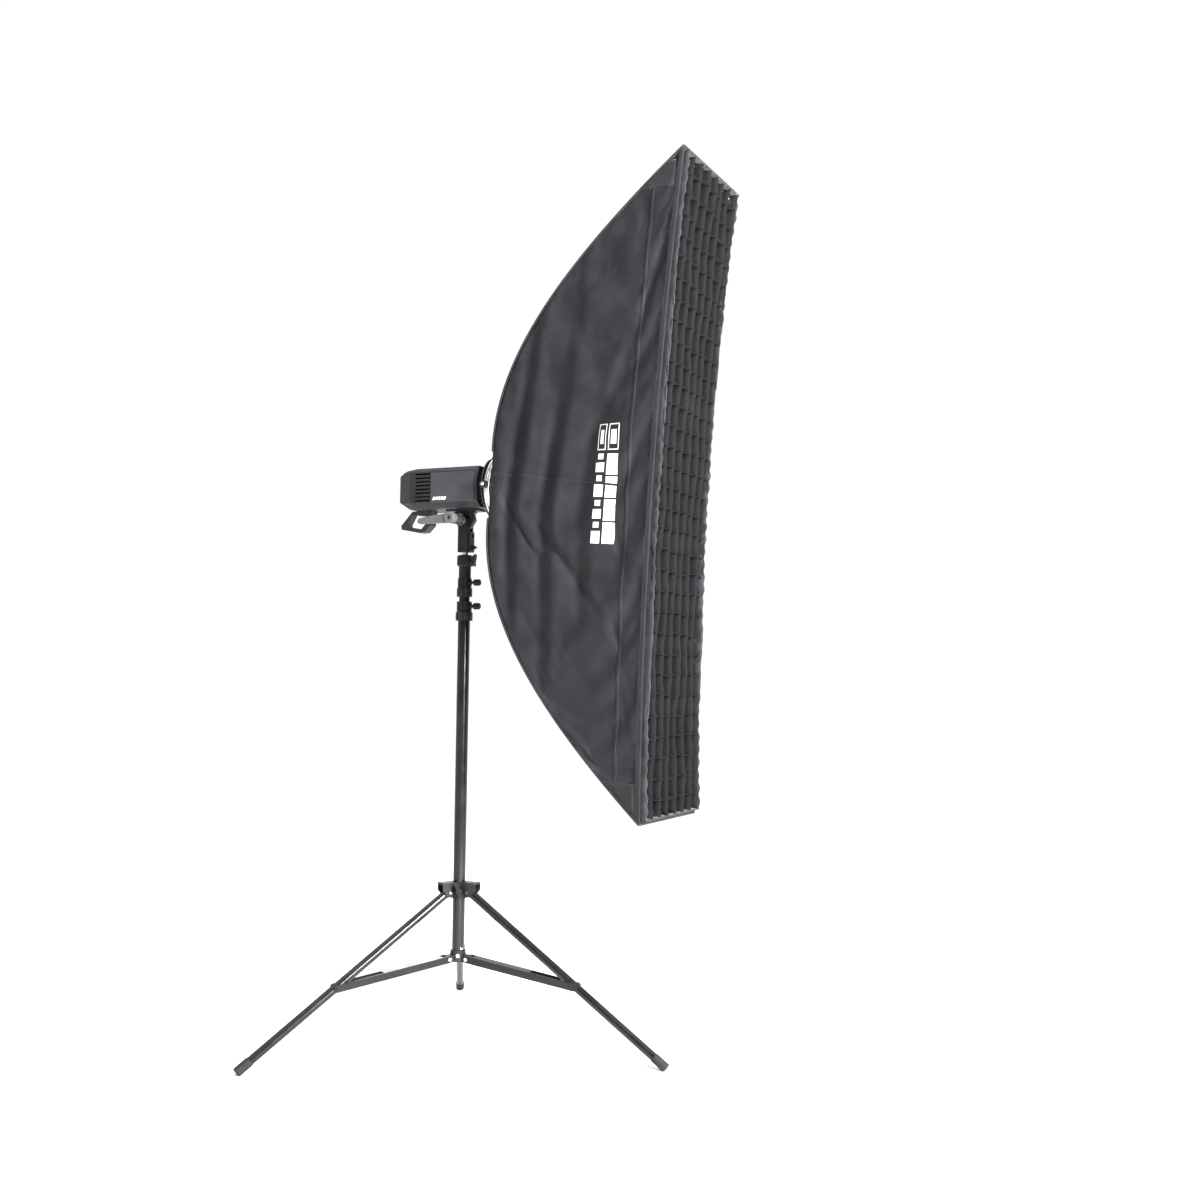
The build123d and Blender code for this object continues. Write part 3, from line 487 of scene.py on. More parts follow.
def side_patch(side):
    """One side panel, in its own (x, y, z)."""
    def place(i, j):
        share, z = i / (ACROSS_ROWS - 1), float(HEIGHTS[j])
        x, y, z = panel_point(share, z, side)
        return x, y + side * fold_depth(share, z, side), z
    points, faces, _ = patch(place, ACROSS_ROWS, len(HEIGHTS), flip=side < 0)
    return points, faces, [(p[0], p[2]) for p in points]


def end_patch(side):
    """The top or bottom panel, which bends along the two rods on its edges."""
    outer = [z for z in HEIGHTS if z >= REAR_HALF - 1e-9]

    def place(i, j):
        z = float(outer[j])
        x = back_x(z)
        across = 2 * i / (END_COLUMNS - 1) - 1
        sag = 0.004 * (1 - across ** 2) * math.sin(math.pi * j / (len(outer) - 1))
        return x + sag, across * half_width(x), side * (z - sag)
    points, faces, _ = patch(place, END_COLUMNS, len(outer), flip=side > 0)
    return points, faces, [(p[1], p[2] + p[0]) for p in points]


def skirt_patch():
    """The gathered fabric between the canopy's square back and the ring."""
    middle = [float(z) for z in HEIGHTS if abs(z) <= REAR_HALF + 1e-9]
    across = [(2 * i / (END_COLUMNS - 1) - 1) * REAR_HALF for i in range(END_COLUMNS)]
    loop = [(-REAR_HALF, z) for z in middle] + [(y, REAR_HALF) for y in across[1:]]
    loop += [(REAR_HALF, z) for z in reversed(middle[:-1])] + [(y, -REAR_HALF) for y in reversed(across[:-1])]
    rows = 5

    def place(i, j):
        y, z = loop[j]
        share = i / (rows - 1)
        shrink = 1 + share * (RING_HOLE / math.hypot(y, z) - 1)
        return REAR_X, y * shrink, z * shrink
    points, faces, _ = patch(place, rows, len(loop), flip=True)
    return points, faces, [(p[1], p[2]) for p in points]


def cut_pattern(front):
    """The rectangle that the cover's pieces are cut from, and their flat area, up to depth front.

    It comes from the outline alone, never from a finished mesh. The two side panels lie side by
    side, with the two end panels end to end beside them, and the skirt comes from an offcut.
    """
    slant = math.hypot(1, (HALF_WIDTH - REAR_HALF) / (MOUTH_X - REAR_X))
    xs, zs = corner_line(400)
    xs, zs = xs[xs <= front], zs[xs <= front]
    steps = np.hypot(np.diff(xs), np.diff(zs))
    widths = np.array([2 * half_width(x) for x in (xs[1:] + xs[:-1]) / 2])
    ends = 2 * float((steps * widths).sum())
    heights = np.linspace(-zs[-1], zs[-1], 401)
    depths = [max(0.0, min(front, MOUTH_X - BOW_BACK * mouth_bow(z)) - back_x(z)) for z in heights]
    sides = 2 * slant * float(heights[1] - heights[0]) * sum(depths)
    skirt = (2 * REAR_HALF) ** 2 - math.pi * RING_HOLE ** 2
    width = 2 * slant * (front - REAR_X) + float(widths[-1])
    return (width, 2 * max(float(steps.sum()), float(zs[-1]))), sides + ends + skirt


def simulate_cloth(made, pinned, frames=18):
    """Lets slack fabric settle between its seams under its own weight."""
    group = made.vertex_groups.new(name="pinned")
    group.add(pinned, 1.0, "REPLACE")
    modifier = made.modifiers.new("cloth", "CLOTH")
    settings = modifier.settings
    settings.quality = 6
    settings.mass = 0.12
    settings.tension_stiffness = 60
    settings.compression_stiffness = 40
    settings.shear_stiffness = 12
    settings.bending_stiffness = 0.6
    settings.tension_damping = 20
    settings.compression_damping = 20
    settings.air_damping = 4
    settings.shrink_min = -0.004
    settings.effector_weights.gravity = 0.12
    settings.vertex_group_mass = "pinned"
    modifier.point_cache.frame_start = 1
    modifier.point_cache.frame_end = frames
    scene = bpy.context.scene
    for number in range(1, frames + 1):
        scene.frame_set(number)
    apply_modifiers(made)
    scene.frame_set(1)


def face_outward(made):
    """Turns a nearly closed sheet's faces to look away from the softbox's axis."""
    work = bmesh.new()
    work.from_mesh(made.data)
    bmesh.ops.recalc_face_normals(work, faces=work.faces)
    near = [f for f in work.faces if f.calc_center_median().y < -0.08 and abs(f.normal.y) > 0.5]
    if sum(f.normal.y for f in near) > 0:
        bmesh.ops.reverse_faces(work, faces=work.faces)
    work.to_mesh(made.data)
    work.free()


def build_canopy():
    """The four panels and the skirt as one sewn sheet, in the row frame."""
    parts = [side_patch(-1), side_patch(1), end_patch(1), end_patch(-1), skirt_patch()]
    points, faces, uvs = join_parts(parts)
    made = make_object("canopy", [to_row(*p) for p in points], faces, uvs)
    weld(made)
    face_outward(made)
    return made


def own_coordinates(made):
    """A mesh's points in the softbox's own frame."""
    return [((v.co - RING).dot(AHEAD), v.co.y, (v.co - RING).dot(ABOVE)) for v in made.data.vertices]


canopy = build_canopy()
cover_size, cover_area = cut_pattern(MOUTH_X)
held = []
for index, (x, y, z) in enumerate(own_coordinates(canopy)):
    on_seam = abs(x - back_x(z)) < 0.0015 and abs(abs(y) - half_width(x)) < 0.003
    on_mouth = x > MOUTH_X - BOW_BACK * mouth_bow(z) - 0.006
    if on_seam or on_mouth or x < REAR_X + 0.001:
        held.append(index)
simulate_cloth(canopy, held)
dress(canopy, nylon)
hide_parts("side_panel_near", "side_panel_far", "end_panel_top", "end_panel_bottom", "rear_skirt")


# ---- what is sewn and printed on the canopy ---------------------------------------------------
SEAM_BACK = 0.062
STITCH_PITCH, STITCH_LENGTH, STITCH_R = 0.0045, 0.0030, 0.00035
PRINT_LIFT = 0.0006
cloth_tree = BVHTree.FromObject(canopy, bpy.context.evaluated_depsgraph_get())


def on_canopy(x, z, side):
    """The point and the outward normal of a side panel's cloth at depth x and height z."""
    outward = Vector((0, side, 0))
    start = to_row(x, side * (HALF_WIDTH + 0.1), z)
    point, normal, _, _ = cloth_tree.ray_cast(start, -outward)
    if point is None:
        return to_row(x, side * half_width(x), z), outward
    return point, normal if normal.dot(outward) > 0 else -normal


def lie_on(x, z, side, lift):
    """A point a little off a side panel's cloth."""
    point, normal = on_canopy(x, z, side)
    return point + normal * lift


def seam_x(z):
    """The depth of the long seam behind the front edge at height z."""
    return MOUTH_X - BOW_BACK * mouth_bow(z) - SEAM_BACK


def band(path, width, lift, side):
    """A flat strip of cloth sewn along a path of (x, z) on a side panel."""
    profile = ((-0.5, 0.0), (-0.42, 1.0), (0.0, 1.15), (0.42, 1.0), (0.5, 0.0))

    def place(i, j):
        x, z = path[i]
        before, after = path[max(i - 1, 0)], path[min(i + 1, len(path) - 1)]
        along_x, along_z = after[0] - before[0], after[1] - before[1]
        size = math.hypot(along_x, along_z)
        share, height = profile[j]
        across_x, across_z = -along_z / size * share * width, along_x / size * share * width
        return lie_on(x + across_x, z + across_z, side, height * lift + 0.0003)
    step = math.dist(path[0], path[1])
    return patch(place, len(path), len(profile), scale=(step, width / 4), flip=side > 0)


def stitches(path, lift, side):
    """Separate stitches along a path of (x, z), each a small spindle of thread."""
    parts = []
    for (x, z), (next_x, next_z) in zip(path, path[1:]):
        length = math.dist((x, z), (next_x, next_z))
        if length < 1e-6:
            continue
        centre, normal = on_canopy((x + next_x) / 2, (z + next_z) / 2, side)
        along = (AHEAD * (next_x - x) + ABOVE * (next_z - z)).normalized()
        along = (along - normal * along.dot(normal)).normalized()
        across = normal.cross(along)
        centre = centre + normal * lift
        half = along * STITCH_LENGTH / 2
        ring = [across * STITCH_R, normal * STITCH_R, -across * STITCH_R, -normal * STITCH_R]
        points = [centre - half] + [centre + offset for offset in ring] + [centre + half]
        faces = ([(0, 1 + (k + 1) % 4, 1 + k) for k in range(4)]
                 + [(5, 1 + k, 1 + (k + 1) % 4) for k in range(4)])
        parts.append((points, faces, [(0, 0)] * 6))
    return parts


def run(start, end, pitch):
    """Evenly spaced points (x, z) on a straight run."""
    count = max(2, int(math.dist(start, end) / pitch) + 1)
    return [(start[0] + (end[0] - start[0]) * k / (count - 1),
             start[1] + (end[1] - start[1]) * k / (count - 1)) for k in range(count)]


def long_path(setback, reach, pitch):
    """A path parallel to the long front edge, setback behind it."""
    count = int(2 * reach / pitch)
    heights = [-reach + 2 * reach * k / count for k in range(count + 1)]
    return [(seam_x(z) + SEAM_BACK - setback, z) for z in heights]


def build_seams():
    """The flat seams of both side panels with their rows of stitches."""
    bands, threads = [], []
    for side in (-1, 1):
        seam_reach = 0.615
        bands.append(band(long_path(SEAM_BACK, seam_reach, 0.008), 0.007, 0.0006, side))
        for offset in (-0.0022, 0.0022):
            threads += stitches(long_path(SEAM_BACK + offset, seam_reach, STITCH_PITCH), 0.0011, side)
        middle = run((REAR_X + 0.008, 0.026), (seam_x(0) - 0.006, -0.004), 0.008)
        bands.append(band(middle, 0.006, 0.0005, side))
        for offset in (-0.0018, 0.0018):
            row = [(x, z + offset) for x, z in run(middle[0], middle[-1], STITCH_PITCH)]
            threads += stitches(row, 0.0010, side)
        for setback in (0.008, 0.0115):
            threads += stitches(long_path(setback, 0.672, STITCH_PITCH), 0.0021, side)
    seams = make_object("canopy_seams", *join_parts(bands))
    dress(seams, nylon)
    thread = make_object("canopy_stitches", *join_parts(threads))
    dress(thread, thread_yarn)
    return [seams, thread]


def panel_block(low_x, high_x, low_z, high_z, lift, side=-1, size=0.006):
    """A rectangle of print that follows the cloth."""
    rows = max(2, round((high_x - low_x) / size) + 1)
    columns = max(2, round((high_z - low_z) / size) + 1)

    def place(i, j):
        x = low_x + (high_x - low_x) * i / (rows - 1)
        z = low_z + (high_z - low_z) * j / (columns - 1)
        return lie_on(x, z, side, lift)
    return patch(place, rows, columns, scale=(size, size), flip=side > 0)


def print_frame(low_x, high_x, low_z, high_z, line):
    """The outline of a rectangle, as four printed bars."""
    return [panel_block(low_x, high_x, low_z, low_z + line, PRINT_LIFT),
            panel_block(low_x, high_x, high_z - line, high_z, PRINT_LIFT),
            panel_block(low_x, low_x + line, low_z + line, high_z - line, PRINT_LIFT),
            panel_block(high_x - line, high_x, low_z + line, high_z - line, PRINT_LIFT)]


def build_mark():
    """A plain printed mark: a column of bars, a striped block and two frames with a square in each."""
    left, right = (0.292, 0.314), (0.320, 0.347)
    low, block_top, frame_top = -0.126, 0.064, 0.128
    parts = []
    heights = (0.026, 0.012, 0.020, 0.012, 0.026, 0.012, 0.020, 0.012)
    gap, z = 0.0072, low
    for number, height in enumerate(heights):
        narrow = 0.004 if number % 2 else 0.0
        parts.append(panel_block(left[0] + narrow, left[1] - narrow, z, z + height, PRINT_LIFT))
        z += height + gap
    stripe_gap, stripes = 0.004, 4
    step = (block_top - low + stripe_gap) / stripes
    for number in range(stripes):
        start = low + number * step
        parts.append(panel_block(right[0], right[1], start, start + step - stripe_gap, PRINT_LIFT))
    for low_x, high_x in (left, right):
        low_z, high_z = block_top + 0.008, frame_top
        parts += print_frame(low_x, high_x, low_z, high_z, 0.0022)
        inset = 0.0065
        parts.append(panel_block(low_x + inset, high_x - inset, low_z + inset * 2, high_z - inset * 2,
                                 PRINT_LIFT))
    mark = make_object("printed_mark", *join_parts(parts))
    dress(mark, print_ink)
    return [mark]


def tube_along(points, radius, sides=8):
    """A round tube along a list of points, closed at both ends."""
    rings, count = [], len(points)
    for i, point in enumerate(points):
        along = (points[min(i + 1, count - 1)] - points[max(i - 1, 0)]).normalized()
        across = along.cross(Vector((0, 1, 0.01))).normalized()
        other = along.cross(across)
        rings.append([point + (across * math.cos(a) + other * math.sin(a)) * radius
                      for a in (ROUND * k / sides for k in range(sides))])
    step = (points[1] - points[0]).length
    flat = [p for ring in rings for p in ring]
    faces = [(i * sides + k, i * sides + (k + 1) % sides, (i + 1) * sides + (k + 1) % sides,
              (i + 1) * sides + k)
             for i in range(count - 1) for k in range(sides)]
    faces += [tuple(reversed(range(sides))), tuple(range((count - 1) * sides, count * sides))]
    uvs = [(i * step, k * radius) for i in range(count) for k in range(sides)]
    return flat, faces, uvs


def build_piping():
    """The bound seams that the rods hold out, from the ring to the four corners."""
    parts = []
    xs, zs = corner_line(90)
    for side_y in (-1, 1):
        for side_z in (-1, 1):
            line = [to_row(x - 0.001, side_y * (half_width(x) + 0.0006), side_z * (z + 0.0006))
                    for x, z in zip(xs, zs)]
            parts.append(tube_along(line, 0.0022))
    piping = make_object("seam_piping", *join_parts(parts))
    dress(piping, binding)
    return [piping]


def build_hem():
    """The folded binding round the mouth, wrapped over the front edge."""
    corners = [(-1, -1), (-1, 1), (1, 1), (1, -1)]
    loop = []
    for number in range(4):
        start, end = corners[number], corners[(number + 1) % 4]
        count = 150 if start[0] == end[0] else 34
        for k in range(count):
            share = k / count
            y_share = start[0] + (end[0] - start[0]) * share
            z_share = start[1] + (end[1] - start[1]) * share
            z = z_share * HALF_HEIGHT
            on_side = start[0] == end[0]
            bow = mouth_bow(z) if on_side else 0.0
            outward = (start[0], 0) if on_side else (0, start[1])
            if k == 0:
                outward = (start[0] * 0.7, start[1] * 0.7)
            loop.append((MOUTH_X - BOW_BACK * bow, y_share * (HALF_WIDTH - BOW_IN * bow), z, outward))
    slope = (HALF_WIDTH - REAR_HALF) / (MOUTH_X - REAR_X)
    end_slope = (LINE_Z[-1] - LINE_Z[-12]) / (LINE_X[-1] - LINE_X[-12])
    profile = ((-0.0095, 0.0010), (-0.0075, 0.0015), (-0.003, 0.0015), (0.0006, 0.0010), (0.0012, 0.0),
               (0.0006, -0.0012), (-0.003, -0.0016), (-0.0095, -0.0013))
    pucker = noise(12, (0.03, 0.0003))

    def place(i, j):
        x, y, z, (out_y, out_z) = loop[i % len(loop)]
        back, out = profile[j]
        out += pucker(y + z, back * 3) * (1 if out > 0 else -1)
        narrower = 1 + back * slope / HALF_WIDTH
        lower = 1 + back * end_slope / HALF_HEIGHT
        return to_row(x + back, y * narrower + out * out_y, z * lower + out * out_z)
    hem = make_object("mouth_hem", *patch(place, len(loop) + 1, len(profile), scale=(0.009, 0.003)))
    weld(hem)
    thicken(hem, 0.0005)
    dress(hem, binding)
    return [hem]


def build_pockets():
    """The reinforced pockets at the four front corners that take the rods' tips."""
    patches, threads = [], []
    for side in (-1, 1):
        for side_z in (-1, 1):
            def place(i, j, side_z=side_z, side=side):
                z = 0.618 + 0.055 * i / 9
                low_x, high_x = back_x(z) + 0.006, MOUTH_X - BOW_BACK * mouth_bow(z) - 0.014
                x = low_x + (high_x - low_x) * j / 5
                return lie_on(x, side_z * z, side, 0.0011)
            patches.append(patch(place, 10, 6, scale=(0.006, 0.006), flip=side * side_z > 0))
            for offset in (0.003, 0.006):
                z = 0.618 + offset
                start = (back_x(z) + 0.008, side_z * z)
                end = (MOUTH_X - BOW_BACK * mouth_bow(z) - 0.018, side_z * z)
                threads += stitches(run(start, end, STITCH_PITCH), 0.0016, side)
    pockets = make_object("corner_pockets", *join_parts(patches))
    thicken(pockets, 0.0007)
    dress(pockets, binding)
    thread = make_object("pocket_stitches", *join_parts(threads))
    dress(thread, thread_yarn)
    return [pockets, thread]


sewn_on = build_seams() + build_mark() + build_piping() + build_hem() + build_pockets()


# ---- inside the canopy -----------------------------------------------------------------------
GRID_BACK = own_box("front_diffuser")[1][0] + 0.004


def build_lining():
    """The silver cloth just inside the canopy, with the same folds."""
    mesh = canopy.data.copy()
    made = bpy.data.objects.new("silver_cloth", mesh)
    bpy.context.collection.objects.link(made)
    inward = made.modifiers.new("inward", "DISPLACE")
    inward.strength, inward.mid_level = -0.0028, 0.0
    apply_modifiers(made)
    work = bmesh.new()
    work.from_mesh(made.data)
    ahead = [f for f in work.faces if (f.calc_center_median() - RING).dot(AHEAD) > GRID_BACK]
    bmesh.ops.delete(work, geom=ahead, context="FACES")
    work.to_mesh(made.data)
    work.free()
    dress(made, silver_cloth)
    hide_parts("silver_lining")
    size, area = cut_pattern(GRID_BACK)


def flat_cloth(name, node, x, half_y, half_z, wrinkle, seed):
    """A thin cloth across the canopy at depth x, with shallow wrinkles."""
    rows, columns = 30, 110
    waves = noise(seed, (0.22, wrinkle), (0.07, wrinkle * 0.25))

    def place(i, j):
        y = (2 * i / (rows - 1) - 1) * half_y
        z = (2 * j / (columns - 1) - 1) * half_z
        edge = min(1, (1 - abs(y) / half_y) * 6, (1 - abs(z) / half_z) * 20)
        return to_row(x + edge * waves(y, z), y, z)
    made = make_object(name, *patch(place, rows, columns, scale=(2 * half_y / rows, 2 * half_z / columns)))
    thicken(made, 0.0004)
    dress(made, white_cloth)
    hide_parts(node)
    return made


def build_diffusers():
    """The small inner baffle on its four straps, and the large front diffuser."""
    low, high = own_box("inner_baffle")
    half_z = high[2]
    baffle = flat_cloth("baffle_cloth", "inner_baffle", (low[0] + high[0]) / 2, 0.084, half_z, 0.0016, 21)
    straps = []
    for side_y in (-1, 1):
        for side_z in (-1, 1):
            def place(i, j, side_y=side_y, side_z=side_z):
                y = side_y * (0.080 + (high[1] - 0.080) * i / 8)
                z = side_z * (half_z - 0.012 * j / 2)
                return to_row((low[0] + high[0]) / 2 + 0.0006, y, z)
            straps.append(patch(place, 9, 3, scale=(0.003, 0.006)))
    strap = make_object("baffle_straps", *join_parts(straps))
    thicken(strap, 0.0008)
    dress(strap, elastic)
    low, high = own_box("front_diffuser")
    front = flat_cloth("diffuser_cloth", "front_diffuser", (low[0] + high[0]) / 2, high[1] - 0.012,
                       high[2] - 0.012, 0.0014, 22)


build_lining()
build_diffusers()


# ---- egg-crate grid --------------------------------------------------------------------------
COLUMNS, ROWS = 7, 32
grid_high = own_box("egg_crate_grid")[1]
GRID_HALF_Y, GRID_HALF_Z = 0.1495, 0.6965
GRID_FRONT, GRID_DEPTH = grid_high[0] - 0.006, 0.050
PER_CELL, DEEP = 6, 4
shift_across = noise(31, (0.16, 0.0022), (0.07, 0.0009))
shift_up = noise(32, (0.14, 0.0022), (0.07, 0.0009))
shift_ahead = noise(33, (0.20, 0.0020), (0.06, 0.0010))
bulge = noise(34, (0.055, 0.0012))


def grid_point(y, z, depth, side_bulge=0.0, drop=0.0, dip=0.0):
    """A point of the grid; depth 0 is its back edge and 1 its front, where it is loosest."""
    bow = mouth_bow(z)
    loose = 0.25 + 0.75 * depth
    near_rim = min(1, (GRID_HALF_Y - abs(y)) / 0.03, (GRID_HALF_Z - abs(z)) / 0.03)
    x = GRID_FRONT - GRID_DEPTH * (1 - depth) - BOW_BACK * 0.9 * bow
    x += near_rim * (shift_ahead(y, z) - dip) * depth
    inward = 1 - BOW_IN * bow / HALF_WIDTH
    y = y * inward + near_rim * shift_across(y, z) * loose + side_bulge * loose
    z = z + near_rim * shift_up(y, z) * loose - drop * loose
    inside = min(x, MOUTH_X - 0.004)
    y_most = half_width(inside) - BOW_IN * bow - 0.0055
    z_most = outline_z(inside) - 0.0055
    return to_row(x, max(-y_most, min(y_most, y)), max(-z_most, min(z_most, z)))


def upright_strip(column):
    """One upright strip of the lattice."""
    y = (2 * column / COLUMNS - 1) * GRID_HALF_Y
    inner = 0 < column < COLUMNS

    def place(i, j):
        cell = i / PER_CELL
        z = (2 * cell / ROWS - 1) * GRID_HALF_Z
        hump = math.sin(math.pi * (cell % 1)) ** 2
        side = (bulge(y * 3, z) + 0.0004) * hump if inner else 0.0
        return grid_point(y, z, j / DEEP, side, 0.0, 0.0010 * hump)
    return patch(place, ROWS * PER_CELL + 1, DEEP + 1,
                 scale=(2 * GRID_HALF_Z / ROWS / PER_CELL, GRID_DEPTH / DEEP))


def cross_strip(row):
    """One cross strip of the lattice."""
    z = (2 * row / ROWS - 1) * GRID_HALF_Z

    def place(i, j):
        cell = i / PER_CELL
        y = (2 * cell / COLUMNS - 1) * GRID_HALF_Y
        hump = math.sin(math.pi * (cell % 1)) ** 2
        drop = (0.0010 + bulge(y, z * 3)) * hump if 0 < row < ROWS else 0.0
        return grid_point(y, z, j / DEEP, 0.0, drop, 0.0014 * hump)
    return patch(place, COLUMNS * PER_CELL + 1, DEEP + 1,
                 scale=(2 * GRID_HALF_Y / COLUMNS / PER_CELL, GRID_DEPTH / DEEP))


def build_grid():
    """The lattice of fabric strips, and the border band that holds it in the mouth."""
    strips = [upright_strip(c) for c in range(COLUMNS + 1)] + [cross_strip(r) for r in range(ROWS + 1)]
    lattice = make_object("grid_lattice", *join_parts(strips))
    thicken(lattice, 0.0006)
    dress(lattice, velvet)
    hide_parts("egg_crate_grid")
    ripple = noise(35, (0.045, 0.0016), (0.12, 0.0014))
    borders = []
    for side in (-1, 1):
        def place(i, j, side=side):
            z = (2 * i / 260 - 1) * (GRID_HALF_Z - 0.004)
            depth = 0.2 + 0.84 * j / 5
            bow = mouth_bow(z)
            x = GRID_FRONT - GRID_DEPTH * (1 - depth) - BOW_BACK * 0.9 * bow
            x += ripple(z * 1.7, 0.4) * depth
            y_most = half_width(min(x, MOUTH_X)) - BOW_IN * bow - 0.0035
            z_most = outline_z(min(x, MOUTH_X - 0.004)) - 0.0055
            y = y_most - 0.0012 + ripple(z, depth) * max(0.0, depth) ** 2
            return to_row(min(x, grid_high[0]), side * min(y, y_most), max(-z_most, min(z_most, z)))
        borders.append(patch(place, 261, 6, scale=(0.0054, 0.012), flip=side < 0))

        def place_end(i, j, side=side):
            depth = 0.2 + 0.82 * j / 5
            x = GRID_FRONT - GRID_DEPTH * (1 - depth)
            inside = min(x, MOUTH_X - 0.004)
            y_most = half_width(inside) - 0.0055
            z = outline_z(inside) - 0.0050 - abs(ripple(i * 0.008, depth)) * depth
            return to_row(x, (2 * i / 50 - 1) * y_most, side * z)
        borders.append(patch(place_end, 51, 6, scale=(0.006, 0.012), flip=side > 0))
    border = make_object("grid_border", *join_parts(borders))
    thicken(border, 0.0012)
    dress(border, grid_edge)


build_grid()


# ---- small things on the strobe and the stand ------------------------------------------------
def blacken_lever_base():
    """The lever's base, next to the bracket, is black where the arm and hub are grey."""
    lever = frame["nodes"]["tilt_lever"]
    lever.data.materials.append(bracket_black)
    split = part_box("tilt_lever")[0][1] + 0.0185
    for face in lever.data.polygons:
        face.material_index = 1 if face.center.y > split else 0


def pan_screw(name, place, towards, radius, body):
    """A domed screw head with a cross slot."""
    towards = Vector(towards).normalized()
    side = towards.cross(Vector((0, 0, 1))).normalized()
    other = towards.cross(side)
    rows, sides = 6, 24
    points, uvs = [], []
    for i in range(rows):
        tilt = math.pi / 2 * i / (rows - 1)
        for k in range(sides):
            angle = ROUND * k / sides
            wide, high = radius * math.cos(tilt), radius * 0.5 * math.sin(tilt)
            off_slot = min(angle % (ROUND / 4), ROUND / 4 - angle % (ROUND / 4))
            slot = 0.25 * radius if i > 2 and off_slot < 0.3 else 0
            points.append(Vector(place) + (side * math.cos(angle) + other * math.sin(angle)) * wide
                          + towards * (high - slot))
            uvs.append((angle, tilt))
    faces = [(i * sides + k, i * sides + (k + 1) % sides, (i + 1) * sides + (k + 1) % sides,
              (i + 1) * sides + k)
             for i in range(rows - 1) for k in range(sides)]
    faces.append(tuple(range(sides)))
    made = make_object(name, points, faces, uvs)
    weld(made, 0.00001)
    return dress(made, bright_steel, body)


def plate_mark():
    """Five slanted printed bars low on the strobe's side plate."""
    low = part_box("side_plate")[0]
    parts = []
    for number in range(5):
        x = low[0] + 0.006 + 0.0072 * number
        base, top, lean, width = low[2] + 0.006, low[2] + 0.013, 0.0022, 0.0048
        corners = ((x, base), (x + width, base), (x + width + lean, top), (x + lean, top))
        points = [Vector((a, low[1] - 0.0001, b)) for a, b in corners]
        parts.append((points, [(0, 1, 2, 3)], [(a, b) for a, b in corners]))
    made = make_object("plate_mark", *join_parts(parts), smooth=False)
    dress(made, print_ink, "head")


blacken_lever_base()
collar_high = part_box("base_collar")[1]
pan_screw("collar_set_screw", (0.0130, -0.0065, collar_high[2] + 0.004), (0.9, -0.45, 0), 0.0028, "column")
knob_low, knob_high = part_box("ring_knob")
pan_screw("ring_knob_cap",
          ((knob_low[0] + knob_high[0]) / 2, knob_low[1] + 0.0002, (knob_low[2] + knob_high[2]) / 2),
          (0, -1, 0), 0.0042, "ring_knob")
plate_mark()


# ---- camera, lights, floor -------------------------------------------------------------------
FLOOR_R, FLOOR_RINGS, FLOOR_SIDES = 26.0, 24, 72


def build_stage():
    """A pale round floor, far wider than the object."""
    def place(i, j):
        radius, angle = FLOOR_R * (i / (FLOOR_RINGS - 1)) ** 2, ROUND * j / (FLOOR_SIDES - 1)
        return radius * math.cos(angle), radius * math.sin(angle), 0.0
    floor = make_object("studio_floor", *patch(place, FLOOR_RINGS, FLOOR_SIDES, flip=True))
    weld(floor)
    nodes = Nodes("studio_paper")
    cloud = nodes.noise(nodes.place((1, 1, 1)), 3, 3)
    nodes.colours(nodes.spread(cloud, 0, 1), (0.93, 0.93, 0.93), (0.95, 0.95, 0.95))
    nodes.set(Roughness=0.85)
    floor.data.materials.append(nodes.material)


def area_light(name, place, target, size, power):
    """A rectangular light at place, turned towards target."""
    light = bpy.data.lights.new(name, "AREA")
    light.shape = "RECTANGLE"
    light.size, light.size_y = size
    light.energy = power
    made = bpy.data.objects.new(name, light)
    made.location = place
    made.rotation_euler = (Vector(target) - Vector(place)).to_track_quat("-Z", "Y").to_euler()
    bpy.context.collection.objects.link(made)


# The white backdrop lies this way from the object; the room on the other side is a mid grey.
BACKDROP = (-0.43, 0.90, 0.0)


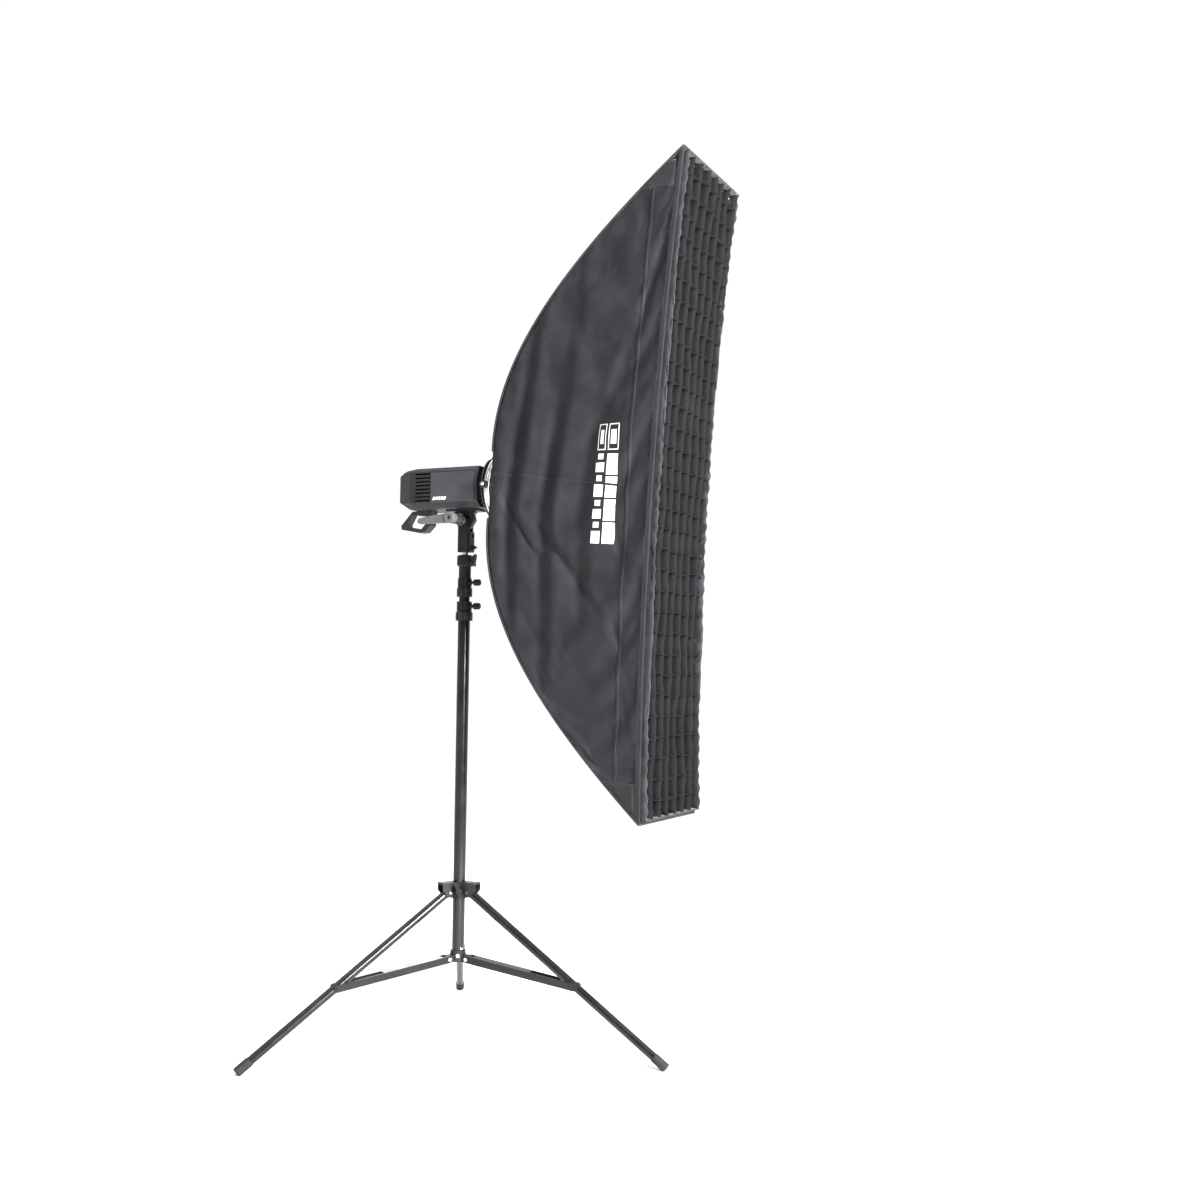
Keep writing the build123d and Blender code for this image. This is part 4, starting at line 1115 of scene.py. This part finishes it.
def build_lights():
    """A grazing key on the near side panel, weak fill and rim, and a pale room."""
    middle = (0.1, 0, 1.0)
    area_light("key_light", (2.9, -1.25, 1.75), (0.35, -0.1, 1.25), (0.7, 1.9), 520)
    area_light("fill_light", (-2.6, -2.4, 1.6), middle, (0.8, 2.4), 7)
    area_light("rim_light", (-2.0, 2.6, 2.0), middle, (0.5, 2.4), 22)
    overhead = bpy.data.lights.new("overhead_light", "SUN")
    overhead.energy = 1.5
    overhead.angle = math.radians(70)
    made = bpy.data.objects.new("overhead_light", overhead)
    made.location = (0, 0, 4)
    bpy.context.collection.objects.link(made)
    world = bpy.data.worlds.new("studio")
    world.use_nodes = True
    tree = world.node_tree
    facing = tree.nodes.new("ShaderNodeVectorMath")
    facing.operation = "DOT_PRODUCT"
    tree.links.new(tree.nodes.new("ShaderNodeTexCoord").outputs["Generated"], facing.inputs[0])
    facing.inputs[1].default_value = BACKDROP
    bright = tree.nodes.new("ShaderNodeMapRange")
    bright.inputs["From Min"].default_value = -0.35
    bright.inputs["From Max"].default_value = 0.45
    bright.inputs["To Min"].default_value = 0.42
    bright.inputs["To Max"].default_value = 1.02
    tree.links.new(facing.outputs["Value"], bright.inputs["Value"])
    tree.links.new(bright.outputs["Result"], tree.nodes["Background"].inputs["Strength"])
    tree.nodes["Background"].inputs["Color"].default_value = (1.0, 1.0, 1.0, 1)
    bpy.context.scene.world = world


CAMERA_PLACE = (1.6582, -2.7801, 0.8417)
CAMERA_TURN, CAMERA_PITCH, CAMERA_ROLL = 25.28, 2.9, 0.77
CAMERA_LENS = 42.03


def build_camera():
    """The camera, at the photo's angle."""
    turn, pitch, roll = (math.radians(a) for a in (CAMERA_TURN, CAMERA_PITCH, CAMERA_ROLL))
    right = Vector((math.cos(turn), math.sin(turn), 0))
    level = Vector((-math.sin(turn), math.cos(turn), 0))
    up = Vector((0, 0, 1))
    ahead = level * math.cos(pitch) + up * math.sin(pitch)
    lifted = up * math.cos(pitch) - level * math.sin(pitch)
    x_axis = right * math.cos(roll) + lifted * math.sin(roll)
    y_axis = lifted * math.cos(roll) - right * math.sin(roll)
    data = bpy.data.cameras.new("camera")
    data.lens, data.sensor_width = CAMERA_LENS, 36.0
    camera = bpy.data.objects.new("camera", data)
    turned = Matrix((x_axis, y_axis, -ahead)).transposed().to_4x4()
    camera.matrix_world = Matrix.Translation(CAMERA_PLACE) @ turned
    bpy.context.collection.objects.link(camera)
    bpy.context.scene.camera = camera


build_stage()
build_lights()
build_camera()
bpy.context.scene.view_settings.view_transform = "Standard"
